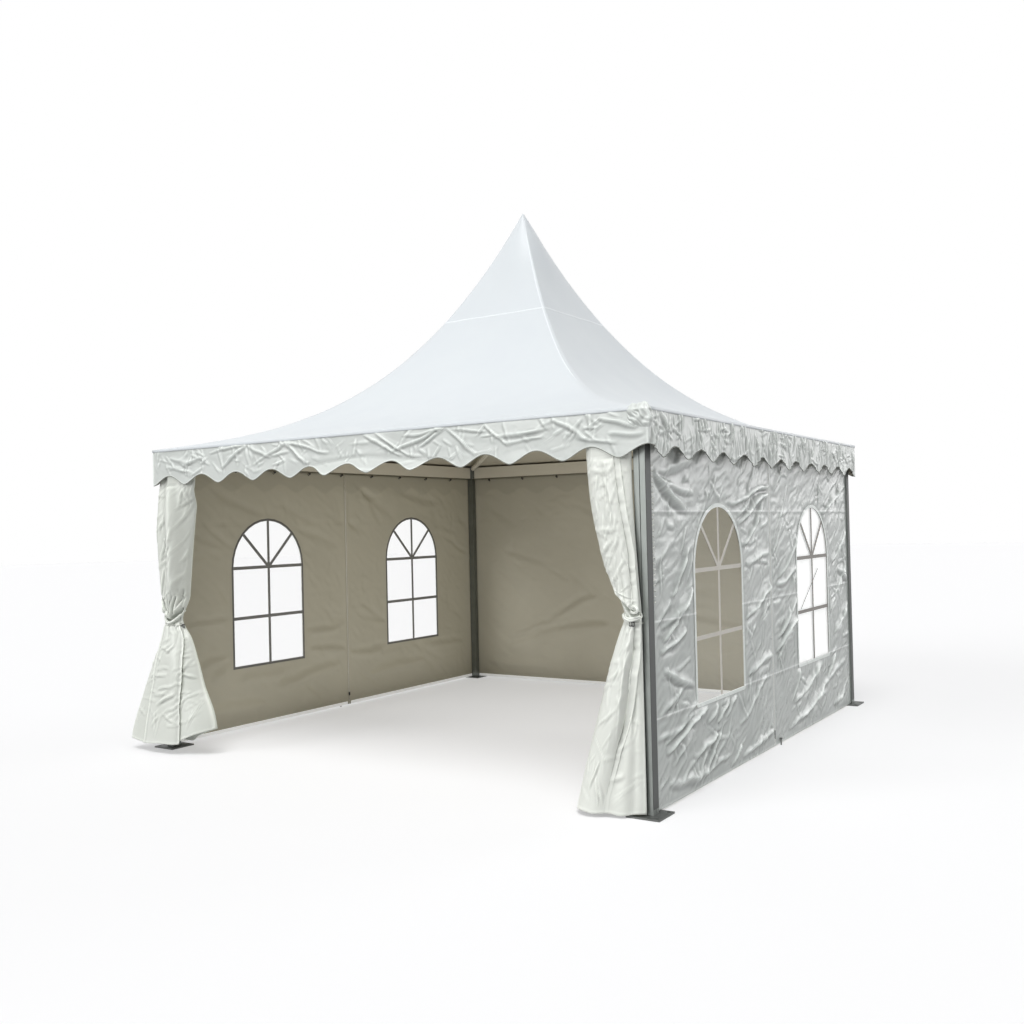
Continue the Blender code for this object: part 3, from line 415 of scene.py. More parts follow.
def plainPlastic(name, colour, worn, roughness, grain, inside=None):
    # moulded or welded plastic: one colour, slightly uneven, with a fine skin; inside is a second, darker
    # colour painted on the faces that look at the mast: painted shade for the side that lies in the tent's
    # shade
    made, tree, place, skinGrain, tint = cloudedMaterial(name, colour, worn, 1000 / grain)
    if inside:
        facing = addNode(tree, "ShaderNodeNewGeometry").outputs["True Normal"]
        outward = addNode(tree, "ShaderNodeVectorMath", {0: facing, 1: place}, operation="DOT_PRODUCT")
        # faces that look at the mast take the darker colour: painted shade
        inner = addNode(tree, "ShaderNodeMath", {0: outward, 1: 0.0}, operation="LESS_THAN")
        tint = addNode(
            tree, "ShaderNodeMix", {"Factor": inner, "A": tint, "B": linearFromHex(inside)}, data_type="RGBA",
        )
    bump = addNode(tree, "ShaderNodeBump", {"Height": skinGrain, "Strength": 0.25, "Distance": 0.0006})
    look = {"Base Color": tint, "Roughness": roughness, "IOR": 1.5, "Normal": bump}
    skin = addNode(tree, "ShaderNodeBsdfPrincipled", look)
    addNode(tree, "ShaderNodeOutputMaterial", {"Surface": skin})
    return made


def clearFilm(name):
    # polished clear PVC film: mirror-like skin, hardly any colour, a slow ripple in its reflections
    made, tree = newMaterial(name)
    place = addNode(tree, "ShaderNodeTexCoord").outputs["Object"]
    ripple = addNode(tree, "ShaderNodeTexNoise", {"Vector": place, "Scale": 4.0, "Detail": 2.0})
    bump = addNode(tree, "ShaderNodeBump", {"Height": ripple, "Strength": 0.3, "Distance": 0.004})
    look = {
        "Base Color": linearFromHex("#eef2f2"), "Roughness": 0.06, "IOR": 1.53, "Alpha": 0.045,
        "Normal": bump,
    }
    skin = addNode(tree, "ShaderNodeBsdfPrincipled", look)
    addNode(tree, "ShaderNodeOutputMaterial", {"Surface": skin})
    return made


wallWelds = (1.66, 1.05, 0.515)
roofVinyl = coatedVinyl("calendered_roof_vinyl", "#cfd4d6", "#c9ced2", 0.42, 0.03)
# the roof's underside is a darker, taupe copy of the roof vinyl: painted shade
paintedShadeRoofLining = coatedVinyl("roof_underside_painted_shade", "#b5af9d", "#aaa493", 0.60, 0.06)
seamVinyl = coatedVinyl("welded_seam_vinyl", "#dfe3e6", "#d9dee1", 0.38, 0.02)
valanceVinyl = coatedVinyl("creased_valance_vinyl", "#d2d6d2", "#b8bdb9", 0.31, 0.5, paintedCreaseShade=0.5)
wallVinyl = coatedVinyl("creased_wall_vinyl", "#cdd1ce", "#b0b6b2", 0.27, 0.5, 0.06, wallWelds, paintedCreaseShade=0.62)
# the wall linings are darker, taupe copies of the white vinyl for the faces inside the tent: painted shade
paintedShadeSideLining = coatedVinyl("painted_shade_side_lining", "#b9b4a2", "#afaa98", 0.62, 0.05, 0.10, band=("Y", 1))
paintedShadeRearLining = coatedVinyl("painted_shade_rear_lining", "#b5b09f", "#aba695", 0.62, 0.05, 0.10, band=("X", -1))
# the valance's back is a darker, taupe copy of its vinyl: painted shade
paintedShadeValanceBack = coatedVinyl("valance_back_painted_shade", "#b9b3a3", "#aea899", 0.60, 0.10, 0.10)
curtainVinyl = coatedVinyl("warm_white_curtain_vinyl", "#dee1da", "#d2d5ce", 0.36, 0.35, paintedCreaseShade=0.34)
# a darker copy of the curtain vinyl for the left curtain: painted shade
paintedShadeCurtainVinyl = coatedVinyl("painted_shade_curtain_vinyl", "#d0d3cc", "#c0c4bc", 0.36, 0.45, paintedCreaseShade=0.46)
# the blind's vinyl glows: painted light for the daylight that comes through it
paintedGlowBlindVinyl = coatedVinyl("painted_glow_blind_vinyl", "#f2f3f1", "#ecedeb", 0.50, 0.05, glow=0.42)
# the hem's vinyl glows: painted light for the daylight that comes through it
paintedGlowHemVinyl = coatedVinyl("painted_glow_hem_vinyl", "#f2f3f1", "#ecedeb", 0.50, 0.05, glow=0.22)
webbing = plainPlastic("white_polyester_webbing", "#e9eae6", "#d9dad4", 0.75, 2.0)
# a dark strip colour that also stands in for the shade on the legs' sides: painted shade
sealWithPaintedShade = plainPlastic("seal_strip_painted_shade", "#4c4e4d", "#3f4140", 0.55, 8.0)
# the zip tape is darker on its inward faces: painted shade
zipTapeShadedInside = plainPlastic("zip_tape_painted_shade_inside", "#e6e8e5", "#dadcd8", 0.7, 2.0, "#a49e8e")
# a grey binding whose grey also stands in for the thin shadow line at a cloth edge: painted shade
bindingWithEdgeShade = plainPlastic("grey_binding_painted_edge_shade", "#8f918b", "#82847e", 0.6, 2.0)
darkCord = plainPlastic("grey_pull_tape", "#6c6a66", "#5d5b57", 0.7, 2.0)
# a warm pale colour in place of bare aluminium: a painted reflection of the tent's inside
beamPaintedReflection = plainPlastic("beam_painted_reflection", "#cfc9b9", "#c3bdad", 0.6, 4.0)
# a darker copy of the window strip for the strips in front of the blind: painted shade
paintedShadeBars = plainPlastic("painted_shade_window_strip", "#8b8781", "#7f7b75", 0.55, 12.0, "#5f5d59")

finishes = {
    "profile_aluminium": metalFinish(
        "mill_finish_aluminium", "#929693", "#7f8380", 0.44, 6.0, 0.12, (1, 1, 0.05),
    ),
    "rail_aluminium": metalFinish("anodised_rail", "#8f8c80", "#838074", 0.45, 6.0, 0.10),
    "cast_aluminium": metalFinish("sand_cast_aluminium", "#868987", "#747776", 0.60, 3.0, 0.5),
    "galvanised_steel": metalFinish("hot_dip_galvanised", "#7a7c7a", "#5b5d5b", 0.55, 18.0, 0.2),
    "zinc_plated_steel": metalFinish("bright_zinc_plate", "#aab0b4", "#989ea2", 0.30, 4.0, 0.1),
    "black_nylon": plainPlastic("glass_filled_nylon", "#242426", "#2c2c2e", 0.55, 1.5),
    "clear_vinyl": clearFilm("clear_pvc_film"),
    # the window strips are dark grey on their inward faces: painted shade
    "bar_vinyl": plainPlastic("window_strip_painted_shade_inside", "#cfcbc2", "#c4c0b7", 0.55, 12.0, "#5f5d59"),
}


def dressFrame():
    for row in frame["record"]["subparts"]:
        finish = finishes.get(row["material_slot"])
        if finish:
            # the rear right window's strips take the darker copy: painted shade
            if row["node"] == "window_bars_right_rear":
                finish = paintedShadeBars
            # beams and rafters take the warm pale colour: painted reflection
            if row["node"].startswith(("eave_beam", "hip_rafter")):
                finish = beamPaintedReflection
            mesh = frame["nodes"][row["node"]].data
            mesh.materials.clear()
            mesh.materials.append(finish)


dressFrame()
print("materials made")


# Roof cover

roofCover = {
    "eave": 2.225,
    "rise": 1.909,
    "curve": 2.98,
    "straightShare": 0.19,
    "peakRounding": 0.30,
    "hollow": 0.018,
    "tip": 0.006,
    "rings": 90,
    "ringSpread": 1.35,
    "sideSteps": 42,
    "lip": (0.004, 0.012, 0.019),
    "lipOut": 0.0012,
    "thickness": 0.0016,
    "hipSeamStart": 0.03,
    "hipSeamEnd": 1.62,
    "hipSeamOffset": 0.012,
    "seamSteps": 130,
    "seamWidth": 0.013,
    "seamRise": 0.0022,
    "ringSeam": 0.655,  # reach of the weld round the cone
    "ringSeamEnd": 0.985,
    "wave": 0.0016,
    "tuck": 0.0030,
    "keep": 0.926,  # the peak comes down by the mast's travel
    "goreSlope": 2.4,  # four gores side by side are this much longer than the plan, as they rise to the peak
}
rimDiagonal = rimReach * math.sqrt(2)


def hipHeight(reach):
    out = 1 - reach / rimDiagonal
    share = roofCover["straightShare"]
    return roofCover["eave"] + roofCover["rise"] * ((1 - share) * out ** roofCover["curve"] + share * out)


def roofPoint(reach, along, side):
    # a point of the outer face: along runs from -1 to 1 between the two hips of a side
    roundness = np.exp(-((reach / roofCover["peakRounding"]) ** 2))
    share = reach / rimDiagonal
    hollow = roofCover["hollow"] * 4 * share * (1 - share)
    lean = np.arctan(along)
    straight = reach / math.sqrt(2) / np.cos(lean) * (1 - hollow * (1 - along * along))
    radius = roundness * reach + (1 - roundness) * straight
    angle = side * math.pi / 2 + lean
    spot = np.stack([radius * np.cos(angle), radius * np.sin(angle), hipHeight(reach) + 0 * along], -1)
    spot[:, 2] += tensionRelief(spot)
    return spot


def tensionRelief(points):
    # very slight waves of tensioned cloth, none at the rim and the peak, and short tucks under the ring weld
    x, y = points[..., 0], points[..., 1]
    outward = np.maximum(np.abs(x), np.abs(y))
    fade = ease(outward, 0.10, 0.7) * ease(rimReach - outward, 0.0, 0.25)
    wave = foldField(x + 3, y + 7, 40, 0.35, 1.6, 11) + foldField(x - 2, y + 1, -50, 0.45, 1.9, 12)
    angle = np.arctan2(y, x) * 0.46
    tucks = crest(outward - 0.54, 0.055) * clothNoise(angle * 34, outward * 3, 13)
    return roofCover["wave"] * fade * wave + roofCover["tuck"] * np.maximum(tucks, 0)


def lowerWithMast(piece):
    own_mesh(piece)


def makeRoofCover():
    rings, steps = roofCover["rings"], roofCover["sideSteps"]
    reaches = [roofCover["tip"]]
    reaches += [rimDiagonal * (ring / rings) ** roofCover["ringSpread"] for ring in range(3, rings + 1)]
    along = -1 + 2 * np.arange(steps) / steps
    points = np.concatenate([roofPoint(reach, along, side) for reach in reaches for side in range(4)])
    columns = 4 * steps
    for drop in roofCover["lip"]:
        # the edge turns down over the top of the valance
        edge = points[-columns:] * (1, 1, 0)
        edge[:, :2] *= (rimReach + roofCover["lipOut"]) / np.abs(edge[:, :2]).max()
        edge[:, 2] = roofCover["eave"] - drop
        points = np.vstack([points, edge])
    peak = len(points)
    points = np.vstack([points, [[0, 0, points[0, 2]]]])
    faces = [
        [low + step, low + columns + step, low + columns + (step + 1) % columns, low + (step + 1) % columns]
        for low in range(0, peak - columns, columns) for step in range(columns)
    ]
    faces += [[peak, step, (step + 1) % columns] for step in range(columns)]
    cover = addPiece("roof_cover_sheet", points, faces, [roofVinyl, paintedShadeRoofLining])
    addThickness(cover, roofCover["thickness"])
    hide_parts("roof_cover")
    lowerWithMast(cover)


def roofNormals(points):
    # the sheet's outward direction, from the slope at each height
    outward = points.copy()
    outward[..., 2] = 0
    reach = np.linalg.norm(outward, axis=-1, keepdims=True)
    outward /= np.maximum(reach, 1e-6)
    slope = (hipHeight(np.maximum(reach - 0.01, 0.01)) - hipHeight(reach + 0.01)) / 0.02
    outward[..., 2:] = 1 / np.maximum(slope, 0.3)
    return outward / np.linalg.norm(outward, axis=-1, keepdims=True)


def makeSeam(name, rows):
    # a welded lap as a thin tape that swells out of the sheet
    lowerWithMast(addPiece(name, rows, gridFaces(*rows.shape[:2]), [seamVinyl]))


def makeRoofSeams():
    half, end, steps = roofCover["seamWidth"] / 2, roofCover["hipSeamEnd"], roofCover["seamSteps"]
    profile = np.array([-1.0, -0.8, -0.3, 0.3, 0.8, 1.0])
    lift = roofCover["seamRise"] * np.array([-1.0, 0.5, 1.0, 1.0, 0.5, -1.0])
    for side, name in enumerate(("right", "rear", "left", "front")):
        rows = []
        for reach in np.linspace(roofCover["hipSeamStart"], end, steps):
            taper = ease(reach, 0.0, 0.2) * ease(end + 0.01 - reach, 0.0, 0.3)
            shift = roofCover["hipSeamOffset"] * ease(reach, 0.05, 0.5)
            along = 1 - (shift + half * (profile + 1) * taper) / max(reach / math.sqrt(2), 0.02)
            spot = roofPoint(reach, along, side)
            rows.append(spot + roofNormals(spot) * lift[:, None] * taper)
        makeSeam("hip_seam_" + name, np.array(rows))
        rows = []
        for along in np.linspace(-roofCover["ringSeamEnd"], roofCover["ringSeamEnd"], steps):
            reach = roofCover["ringSeam"] + 0.0015 * math.sin(along * 9 + side) + 0.006 * profile
            spot = roofPoint(reach, np.full(6, along), side)
            rows.append(spot + roofNormals(spot) * (lift * 0.9)[:, None])
        makeSeam("ring_weld_" + name, np.array(rows)[:, ::-1])


cornerPatch = {
    "front": 0.135,
    "side": 0.060,
    "low": 2.105,
    "inward": 0.030,
    "crumple": 0.013,
    "sunk": 0.005,
    "above": 0.0035,
    "thickness": 0.0012,
    "rows": 56,
    "columns": 70,
}


def makeCornerPatch():
    # the gusset that closes the front right corner of the roof bunches up over the valances
    rows, columns = cornerPatch["rows"], cornerPatch["columns"]
    a, b = np.meshgrid(np.linspace(0, 1, columns), np.linspace(0, 1, rows))
    along = a * (cornerPatch["front"] + cornerPatch["side"]) - cornerPatch["front"]
    turn = ease(along, -0.018, 0.018) * math.pi / 2
    down = ease(b, 0.12, 0.32)
    top = roofCover["eave"] + cornerPatch["above"]
    crumple = 0.6 + 0.6 * foldField(a * 2, b, 25, 0.20, 0.7, 141) + 0.6 * clothNoise(a * 5, b * 4, 150)
    edge = ease(a, 0.0, 0.16) * ease(1 - a, 0.0, 0.22) * ease(b, 0.0, 0.14) * ease(1 - b, 0.0, 0.30)
    lift = cornerPatch["crumple"] * np.clip(crumple, 0.05, 1.6) * edge - cornerPatch["sunk"] * (1 - edge)
    inward = cornerPatch["inward"] * (1 - down)
    x = rimReach + np.minimum(along, 0) + (lift * down - inward) * np.sin(turn)
    y = -rimReach + np.maximum(along, 0) - (lift * down - inward) * np.cos(turn)
    z = top + 0.25 * inward - (top - cornerPatch["low"]) * np.clip((b - 0.2) / 0.8, 0, 1) + lift * (1 - down)
    faces = gridFaces(rows, columns)
    patch = addPiece("corner_gusset", np.stack([x, y, z], -1), faces, [valanceVinyl])
    addThickness(patch, cornerPatch["thickness"])


makeRoofCover()
makeRoofSeams()
makeCornerPatch()
print("roof cover made")


# Valances

valance = {
    "top": 2.2215,
    "thickness": 0.0016,
    "binding": 0.0024,
    "rows": 32,
    "step": 0.0085,
    "plainRows": 16,
    "plainStep": 0.016,
    "sway": (0.004, 0.71),  # how far the hem swings in and out, and the length of one swing
    "hem": 2.10,  # the swing begins below this height
}
# folds of the front strip, as the photograph shows them: both ends, half width and height, in millimetres
frontFolds = metres((
    (-1040, 2205, -800, 2100, 14, 12), (-1300, 2055, -1040, 2205, 14, 10), (-1420, 2172, -1040, 2205, 10, 8),
    (-1060, 2200, -1000, 2050, 20, 6), (-670, 2210, -450, 2040, 16, 16), (-660, 2205, -260, 2100, 11, 12),
    (-980, 2060, -660, 2200, 14, 8), (-800, 2120, -620, 2135, 10, 6), (30, 2205, 360, 2045, 12, 14),
    (130, 2205, 420, 2045, 11, 13), (-100, 2150, 200, 2160, 16, 5), (280, 2085, 680, 2205, 11, 13),
    (480, 2095, 700, 2205, 10, 10), (360, 2170, 680, 2200, 9, 9), (700, 2205, 920, 2025, 13, 14),
    (720, 2200, 1000, 2160, 9, 8), (980, 2200, 1160, 2060, 11, 12), (1040, 2120, 1420, 2150, 14, 9),
    (1100, 2080, 1400, 2110, 12, 7), (1450, 2205, 1680, 2075, 15, 14), (1520, 2110, 1860, 2030, 11, 10),
    (1740, 2190, 1980, 2120, 16, 12), (1800, 2090, 2020, 2080, 16, 7), (-1860, 2150, -1600, 2120, 20, 10),
    (-1720, 2100, -1480, 2150, 18, 9), (-1900, 2085, -1660, 2060, 16, 7), (-1560, 2185, -1420, 2080, 14, 7),
))
# the line where the front strip's hem turns outward into the light
curlLine = metres(((-620, -445, -5, 336, 674, 900), (1980, 2030, 2063, 2040, 2002, 1980)))


def waveHeight(u, notchEnd):
    along = (1 - notchEnd * u / valanceFace) / 2
    wave = (1 + np.cos(2 * np.pi * valanceWave["waves"] * along)) / 2
    return valanceWave["tip"] + valanceWave["depth"] * wave ** valanceWave["fullness"]


def frontRelief(u, z):
    u2, z2 = bent(u, z, 0.012, 0.16, 23)
    relief = 1.15 * foldStrokes(u2, z2, frontFolds)
    small = scatterFolds(24, 150, (-2.0, 2.0), (2.0, 2.2), (-30, 50), (0.13, 0.0085, 0.0060))
    relief = relief + foldStrokes(u2, z2, small)
    line = np.interp(u, *curlLine)
    inside = ease(u, -0.60, -0.42) * (1 - ease(u, 0.60, 0.80))
    relief = relief + inside * (0.55 * np.clip(line - z, 0, 0.08) - 0.009 * crest(z - line - 0.006, 0.008))
    return relief + 0.004 * clothNoise(u * 2.2, z * 9, 25)


def gatheredRelief(u, z, seed):
    # upright gathers crossed by short crumples
    u2, z2 = bent(u, z, 0.014, 0.12, seed)
    low, high = (-2.05, 1.96), (2.05, 2.21)
    upright = scatterFolds(seed + 1, 150, low, high, (85, 16), (0.20, 0.0095, 0.0095))
    slanting = scatterFolds(seed + 2, 170, low, high, (35, 50), (0.12, 0.0085, 0.0075))
    return foldStrokes(u2, z2, upright + slanting)


def makeValance(side, turns, notchEnd, seed, rows, step):
    count = int(2 * valanceFace / step)
    top, hem = valance["top"], valance["hem"]
    u = np.linspace(-valanceFace, valanceFace, count + 1)
    share = np.linspace(0, 1, rows)[:, None]
    u2 = np.repeat(u[None, :], rows, 0)
    z2 = top + (waveHeight(u, notchEnd)[None, :] - top) * share
    fade = ease(valanceFace - np.abs(u2), 0.0, 0.05) * ease(top - z2, 0.0, 0.02)
    amount, period = valance["sway"]
    swing = amount * np.sin(u2 * 2 * np.pi / period + turns) * ease(hem - z2, 0.0, 0.14)
    # only the front strip has cloth close behind it
    inward = 0.0004 if side == "front" else 0.002 + 0.010 * ease(hem - z2, 0.0, 0.05)
    relief = (gatheredRelief(u2, z2, seed) if seed else frontRelief(u2, z2)) + swing
    out = valanceFace + np.maximum(relief * fade, -inward)
    points = quarterTurn(np.stack([out, u2, z2], -1), turns)
    faces = [face[::-1] for face in gridFaces(rows, count + 1)]
    strip = addPiece("valance_strip_" + side, points, faces, [valanceVinyl, paintedShadeValanceBack])
    addThickness(strip, valance["thickness"])
    outward = quarterTurn(np.array([[1.0, 0.0, 0.0]]), turns)[0]
    # the binding along the hem is grey, partly a painted shade for the edge's shadow line
    bound = sweep(points[-1, 1:-1] - (0, 0, 0.0005), roundProfile(valance["binding"], 6), tuple(outward))
    addTrim("valance_binding_" + side, [bound], 0, bindingWithEdgeShade)
    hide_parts("valance_" + side)


makeValance("right", 0, -1, 31, valance["rows"], valance["step"])
makeValance("rear", 1, 1, 41, valance["plainRows"], valance["plainStep"])
makeValance("left", 2, -1, 51, valance["plainRows"], valance["plainStep"])
makeValance("front", 3, 1, None, valance["rows"], valance["step"])
print("valances made")


# Window walls

window = {
    "centre": 0.955,
    "width": 0.780,
    "sill": 0.504,
    "spring": 1.303,
}
wallSheet = {
    "bottom": 0.012,
    "thickness": 0.0016,
    "zipEdge": 0.002,
    "inGroove": 0.0085,
    "step": 0.0105,
    "plainStep": 0.020,
    "weldRise": 0.0022,
    "weldHalf": 0.012,
    "weldDip": (0.6, 0.024, 0.014),  # share of the rise, how far below the weld, and half width
    "besideBlind": (0.46, 0.44, 1.76),  # half width, low and high of what lies close to a blind
    "flatRound": 0.018,
    "sharpness": 0.72,  # of the drawn folds' width
    "strength": 1.9,  # of their height
    "inward": 0.016,
    "outward": 0.036,
    "swell": 0.006,
    "grain": 0.0032,
}
# folds of the right wall, as the photograph shows them; they mostly climb towards the rear
wallFolds = metres((
    (-1820, 1840, -1320, 1760, 30, 9), (-1870, 1860, -1440, 1660, 40, 14), (-780, 1700, 50, 1870, 32, 17),
    (-630, 1580, -20, 1800, 34, 16), (-540, 1430, -170, 1620, 30, 11), (-500, 1300, -30, 1380, 26, 9),
    (-1800, 930, -1380, 1220, 38, 18), (-1810, 1010, -1490, 1140, 24, 8), (-1820, 1190, -1810, 1400, 16, 6),
    (-1680, 1160, -1430, 1450, 22, 10), (-530, 960, 30, 1140, 34, 15), (-220, 930, 50, 1050, 22, 9),
    (120, 760, 400, 890, 26, 10), (-1850, 870, -1480, 970, 34, 16), (-1820, 760, -1370, 620, 30, 10),
    (-1780, 300, -1200, 480, 36, 18), (-1800, 360, -1350, 470, 22, 9), (-1420, 210, -1050, 290, 30, 11),
    (-840, 30, -640, 140, 18, 11), (-1200, 380, -1030, 480, 22, 12), (-1050, 370, -820, 480, 22, 11),
    (-920, 360, -720, 470, 20, 8), (-620, 70, 50, 160, 30, 11), (-500, 560, 40, 660, 30, 13),
    (-1760, 130, -1210, 80, 34, 10), (1220, 1640, 1920, 1890, 36, 18), (120, 1130, 580, 1250, 28, 10),
    (60, 670, 640, 910, 34, 18), (100, 600, 370, 800, 22, 9), (1500, 950, 1880, 1230, 30, 13),
    (1480, 640, 1840, 840, 30, 13), (1460, 1240, 1880, 1480, 26, 12), (640, 300, 1130, 460, 30, 13),
    (310, 70, 1160, 250, 36, 14), (1140, 1720, 1160, 1880, 18, 7), (160, 1180, 600, 1460, 32, 13),
    (170, 780, 610, 1070, 26, 11), (900, 200, 1800, 420, 34, 10),
))
# soft, wide folds of the left and rear walls, mostly level and low down
leftWallFolds = metres((
    (1302, 555, 847, 600, 45, -13), (1260, 394, 780, 405, 55, -16), (900, 270, 100, 380, 60, -16),
    (491, 560, 0, 500, 45, -12), (0, 465, -737, 415, 50, -13), (1560, 430, 1280, 530, 45, -12),
    (1740, 510, 1360, 600, 45, -12), (579, 690, 100, 720, 45, -10), (-300, 230, -1100, 260, 60, -13),
    (-1100, 420, -1800, 380, 50, -12), (1700, 200, 1000, 150, 60, -14), (1850, 860, 1400, 900, 35, -8),
))
rearWallFolds = metres((
    (1544, 340, 344, 612, 70, -22), (1542, 450, 811, 635, 45, -14), (1032, 620, 462, 868, 55, -14),
    (300, 300, -700, 500, 70, -18), (-200, 700, -1100, 560, 60, -13), (-1100, 250, -1800, 420, 60, -15),
    (1800, 180, 1000, 150, 60, -10),
))


def windowDistance(u, z):
    # signed distance to the edge of an arched window, negative inside it
    across = np.abs(np.abs(u) - window["centre"]) - window["width"] / 2
    below = window["sill"] - z
    straight = np.where((across > 0) & (below > 0), np.hypot(across, below), np.maximum(across, below))
    head = np.hypot(np.abs(u) - window["centre"], z - window["spring"]) - window["width"] / 2
    return np.where(z > window["spring"], np.maximum(head, below), straight)


def cutOut(points, faces, distance):
    # cuts a hole along distance = 0 and keeps the side where it is positive
    points = list(map(tuple, points))
    distance = np.where(np.abs(distance) < 0.0015, 0.0, distance)
    kept = []
    crossings = {}
    for face in faces:
        signs = distance[face]
        if signs.min() >= 0:
            kept.append(face)
            continue
        if signs.max() <= 0:
            continue
        outline = []
        for first, second in zip(face, face[1:] + face[:1]):
            if distance[first] >= 0:
                outline.append(first)
            if distance[first] * distance[second] < 0:
                key = (min(first, second), max(first, second))
                if key not in crossings:
                    share = distance[first] / (distance[first] - distance[second])
                    crossings[key] = len(points)
                    points.append(tuple(p + (q - p) * share for p, q in zip(points[first], points[second])))
                outline.append(crossings[key])
        if len(outline) > 2:
            kept.append(outline)
    used = sorted({index for face in kept for index in face})
    order = {index: place for place, index in enumerate(used)}
    return [points[index] for index in used], [[order[index] for index in face] for face in kept]


def slackFolds(u, z, seed, own, depth):
    # folds of a slack vinyl wall: the ones of its own, then smaller random ones, then a soft swell
    u2, z2 = bent(u, z, 0.030, 0.42, seed)
    u2, z2 = bent(u2, z2, 0.010, 0.12, seed + 1)
    low, high = (-1.9, 0.05), (1.9, 1.95)
    broad = 1 / depth  # shallow folds are broad as well
    narrow, strong = wallSheet["sharpness"], wallSheet["strength"]
    sharp = [(*ends, narrow * width, strong * height) for *ends, width, height in own]
    big = scatterFolds(seed + 2, 46, low, high, (28, 16), (0.50, 0.021 * broad, 0.0165))
    small = scatterFolds(seed + 3, 200, low, high, (32, 30), (0.18, 0.0115 * broad, 0.0075))
    cross = scatterFolds(seed + 4, 60, low, high, (112, 26), (0.20, 0.0120 * broad, 0.0078))
    relief = depth * foldStrokes(u2, z2, big + small + cross) + foldStrokes(u2, z2, sharp)
    swell = wallSheet["swell"] * clothNoise(u * 1.6, z * 2.4, seed + 5)
    return relief + swell + depth * wallSheet["grain"] * foldField(u2, z2, 32, 0.055, 0.24, seed + 6)


def weldRelief(z):
    # each weld stands out a little, with a dip under it
    relief = np.zeros_like(z)
    share, below, half = wallSheet["weldDip"]
    for height in wallWelds:
        lap = crest(z - height, wallSheet["weldHalf"]) - share * crest(z - height + below, half)
        relief = relief + wallSheet["weldRise"] * lap
    return relief


def sheetFace(u, z, seed, depth, own, holed):
    # how far the outer face of a wall stands out from its flat place
    relief = slackFolds(u, z, seed, own, depth) + weldRelief(z)
    fade = ease(legInside - np.abs(u), 0.0, 0.06) * ease(beamUnderside - z, 0.0, 0.16)
    fade = fade * (0.3 + 0.7 * ease(z, 0.012, 0.09))
    free = ease(z, 0.045, 0.11)
    if holed:
        # flat at the zip and round the windows
        fade = fade * ease(np.abs(u), wallSheet["flatRound"], 0.060)
        fade = fade * ease(windowDistance(u, z), 0.010, 0.050)
        # the blind behind the rear window keeps the cloth from going in there, as the hem does below
        half, low, high = wallSheet["besideBlind"]
        beside = np.maximum(np.abs(np.abs(u) - window["centre"]) - half, np.maximum(low - z, z - high))
        free = free * ease(beside, 0.0, 0.06)
    return np.clip(relief * fade, -wallSheet["inward"] * free, wallSheet["outward"])


def makeWall(name, node, turns, low, high, seed, depth, own, holed, step):
    columns = int((high - low) / step) + 1
    rows = int((beamUnderside - wallSheet["bottom"]) / step) + 1
    u, z = np.linspace(low, high, columns), np.linspace(wallSheet["bottom"], beamUnderside - 0.0004, rows)
    u2, z2 = np.meshgrid(u, z)
    points = np.stack([wallFace + sheetFace(u2, z2, seed, depth, own, holed), u2, z2], -1).reshape(-1, 3)
    faces = gridFaces(rows, columns)
    width, tall = high - low, beamUnderside - wallSheet["bottom"]
    area = width * tall
    if holed:
        points, faces = cutOut(points, faces, windowDistance(points[:, 1], points[:, 2]))
        half = window["width"] / 2
        hole = window["width"] * (window["spring"] - window["sill"]) + math.pi * half * half / 2
        area -= hole
    points = quarterTurn(np.array(points), turns)
    # the back faces take a lining darker than the vinyl outside: painted shade
    lining = paintedShadeRearLining if turns == 1 else paintedShadeSideLining
    wall = addPiece(name, points, faces, [wallVinyl, lining])
    addThickness(wall, wallSheet["thickness"])
    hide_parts(node)


def makeWalls():
    edge = legInside + wallSheet["inGroove"]
    for side, turns, seed, depth, own, step in (
        ("right", 0, 61, 1.0, wallFolds, wallSheet["step"]),
        ("left", 2, 71, 0.6, leftWallFolds, wallSheet["plainStep"]),
    ):
        halves = [(-edge, -wallSheet["zipEdge"]), (wallSheet["zipEdge"], edge)]
        if side == "left":
            halves.reverse()
        for end, (low, high) in zip(("front", "rear"), halves):
            name, node = f"{side}_{end}_wall_sheet", f"{side}_wall_{end}_panel"
            makeWall(name, node, turns, low, high, seed, depth, own, True, step)
    step = wallSheet["plainStep"]
    makeWall("rear_wall_sheet", "rear_wall", 1, -edge, edge, 81, 0.6, rearWallFolds, False, step)


makeWalls()
print("walls made")


# Zips, hems and lacing of the walls

wallTrim = {
    "tapeInner": 0.0025,
    "tapeOuter": 0.0105,
    "tapeThickness": 0.0005,
    "toothPitch": 0.004,
    "toothHigh": 0.0024,
    "toothAcross": 0.0020,
    "toothDeep": 0.0013,
    "toothShift": 0.0007,
    "hemHeight": 0.026,
    "hemThickness": 0.0012,
    "hemGap": 0.022,  # the hem stops this far from the zip
    "weldHalf": 0.0125,
    "weldOut": 0.0035,
    "weldFace": 0.0031,
    "weldCorner": 0.014,
    "hookCount": 9,
    "hookFirst": 1.727,
    "hookPitch": 0.413,
    "hookRadius": 0.0032,
    "hookWire": ((0, 8), (0, -4), (4, -13), (12, -16), (19, -12), (22, -2)),  # mm outwards and up
    "rollerRadius": 0.0068,
    "laceLow": 1.16,
    "laceHigh": 1.93,
    "lacePitch": 0.030,
    "laceRadius": 0.0032,
    "laceLength": 0.040,
}
outwards = (1, 0, 0)


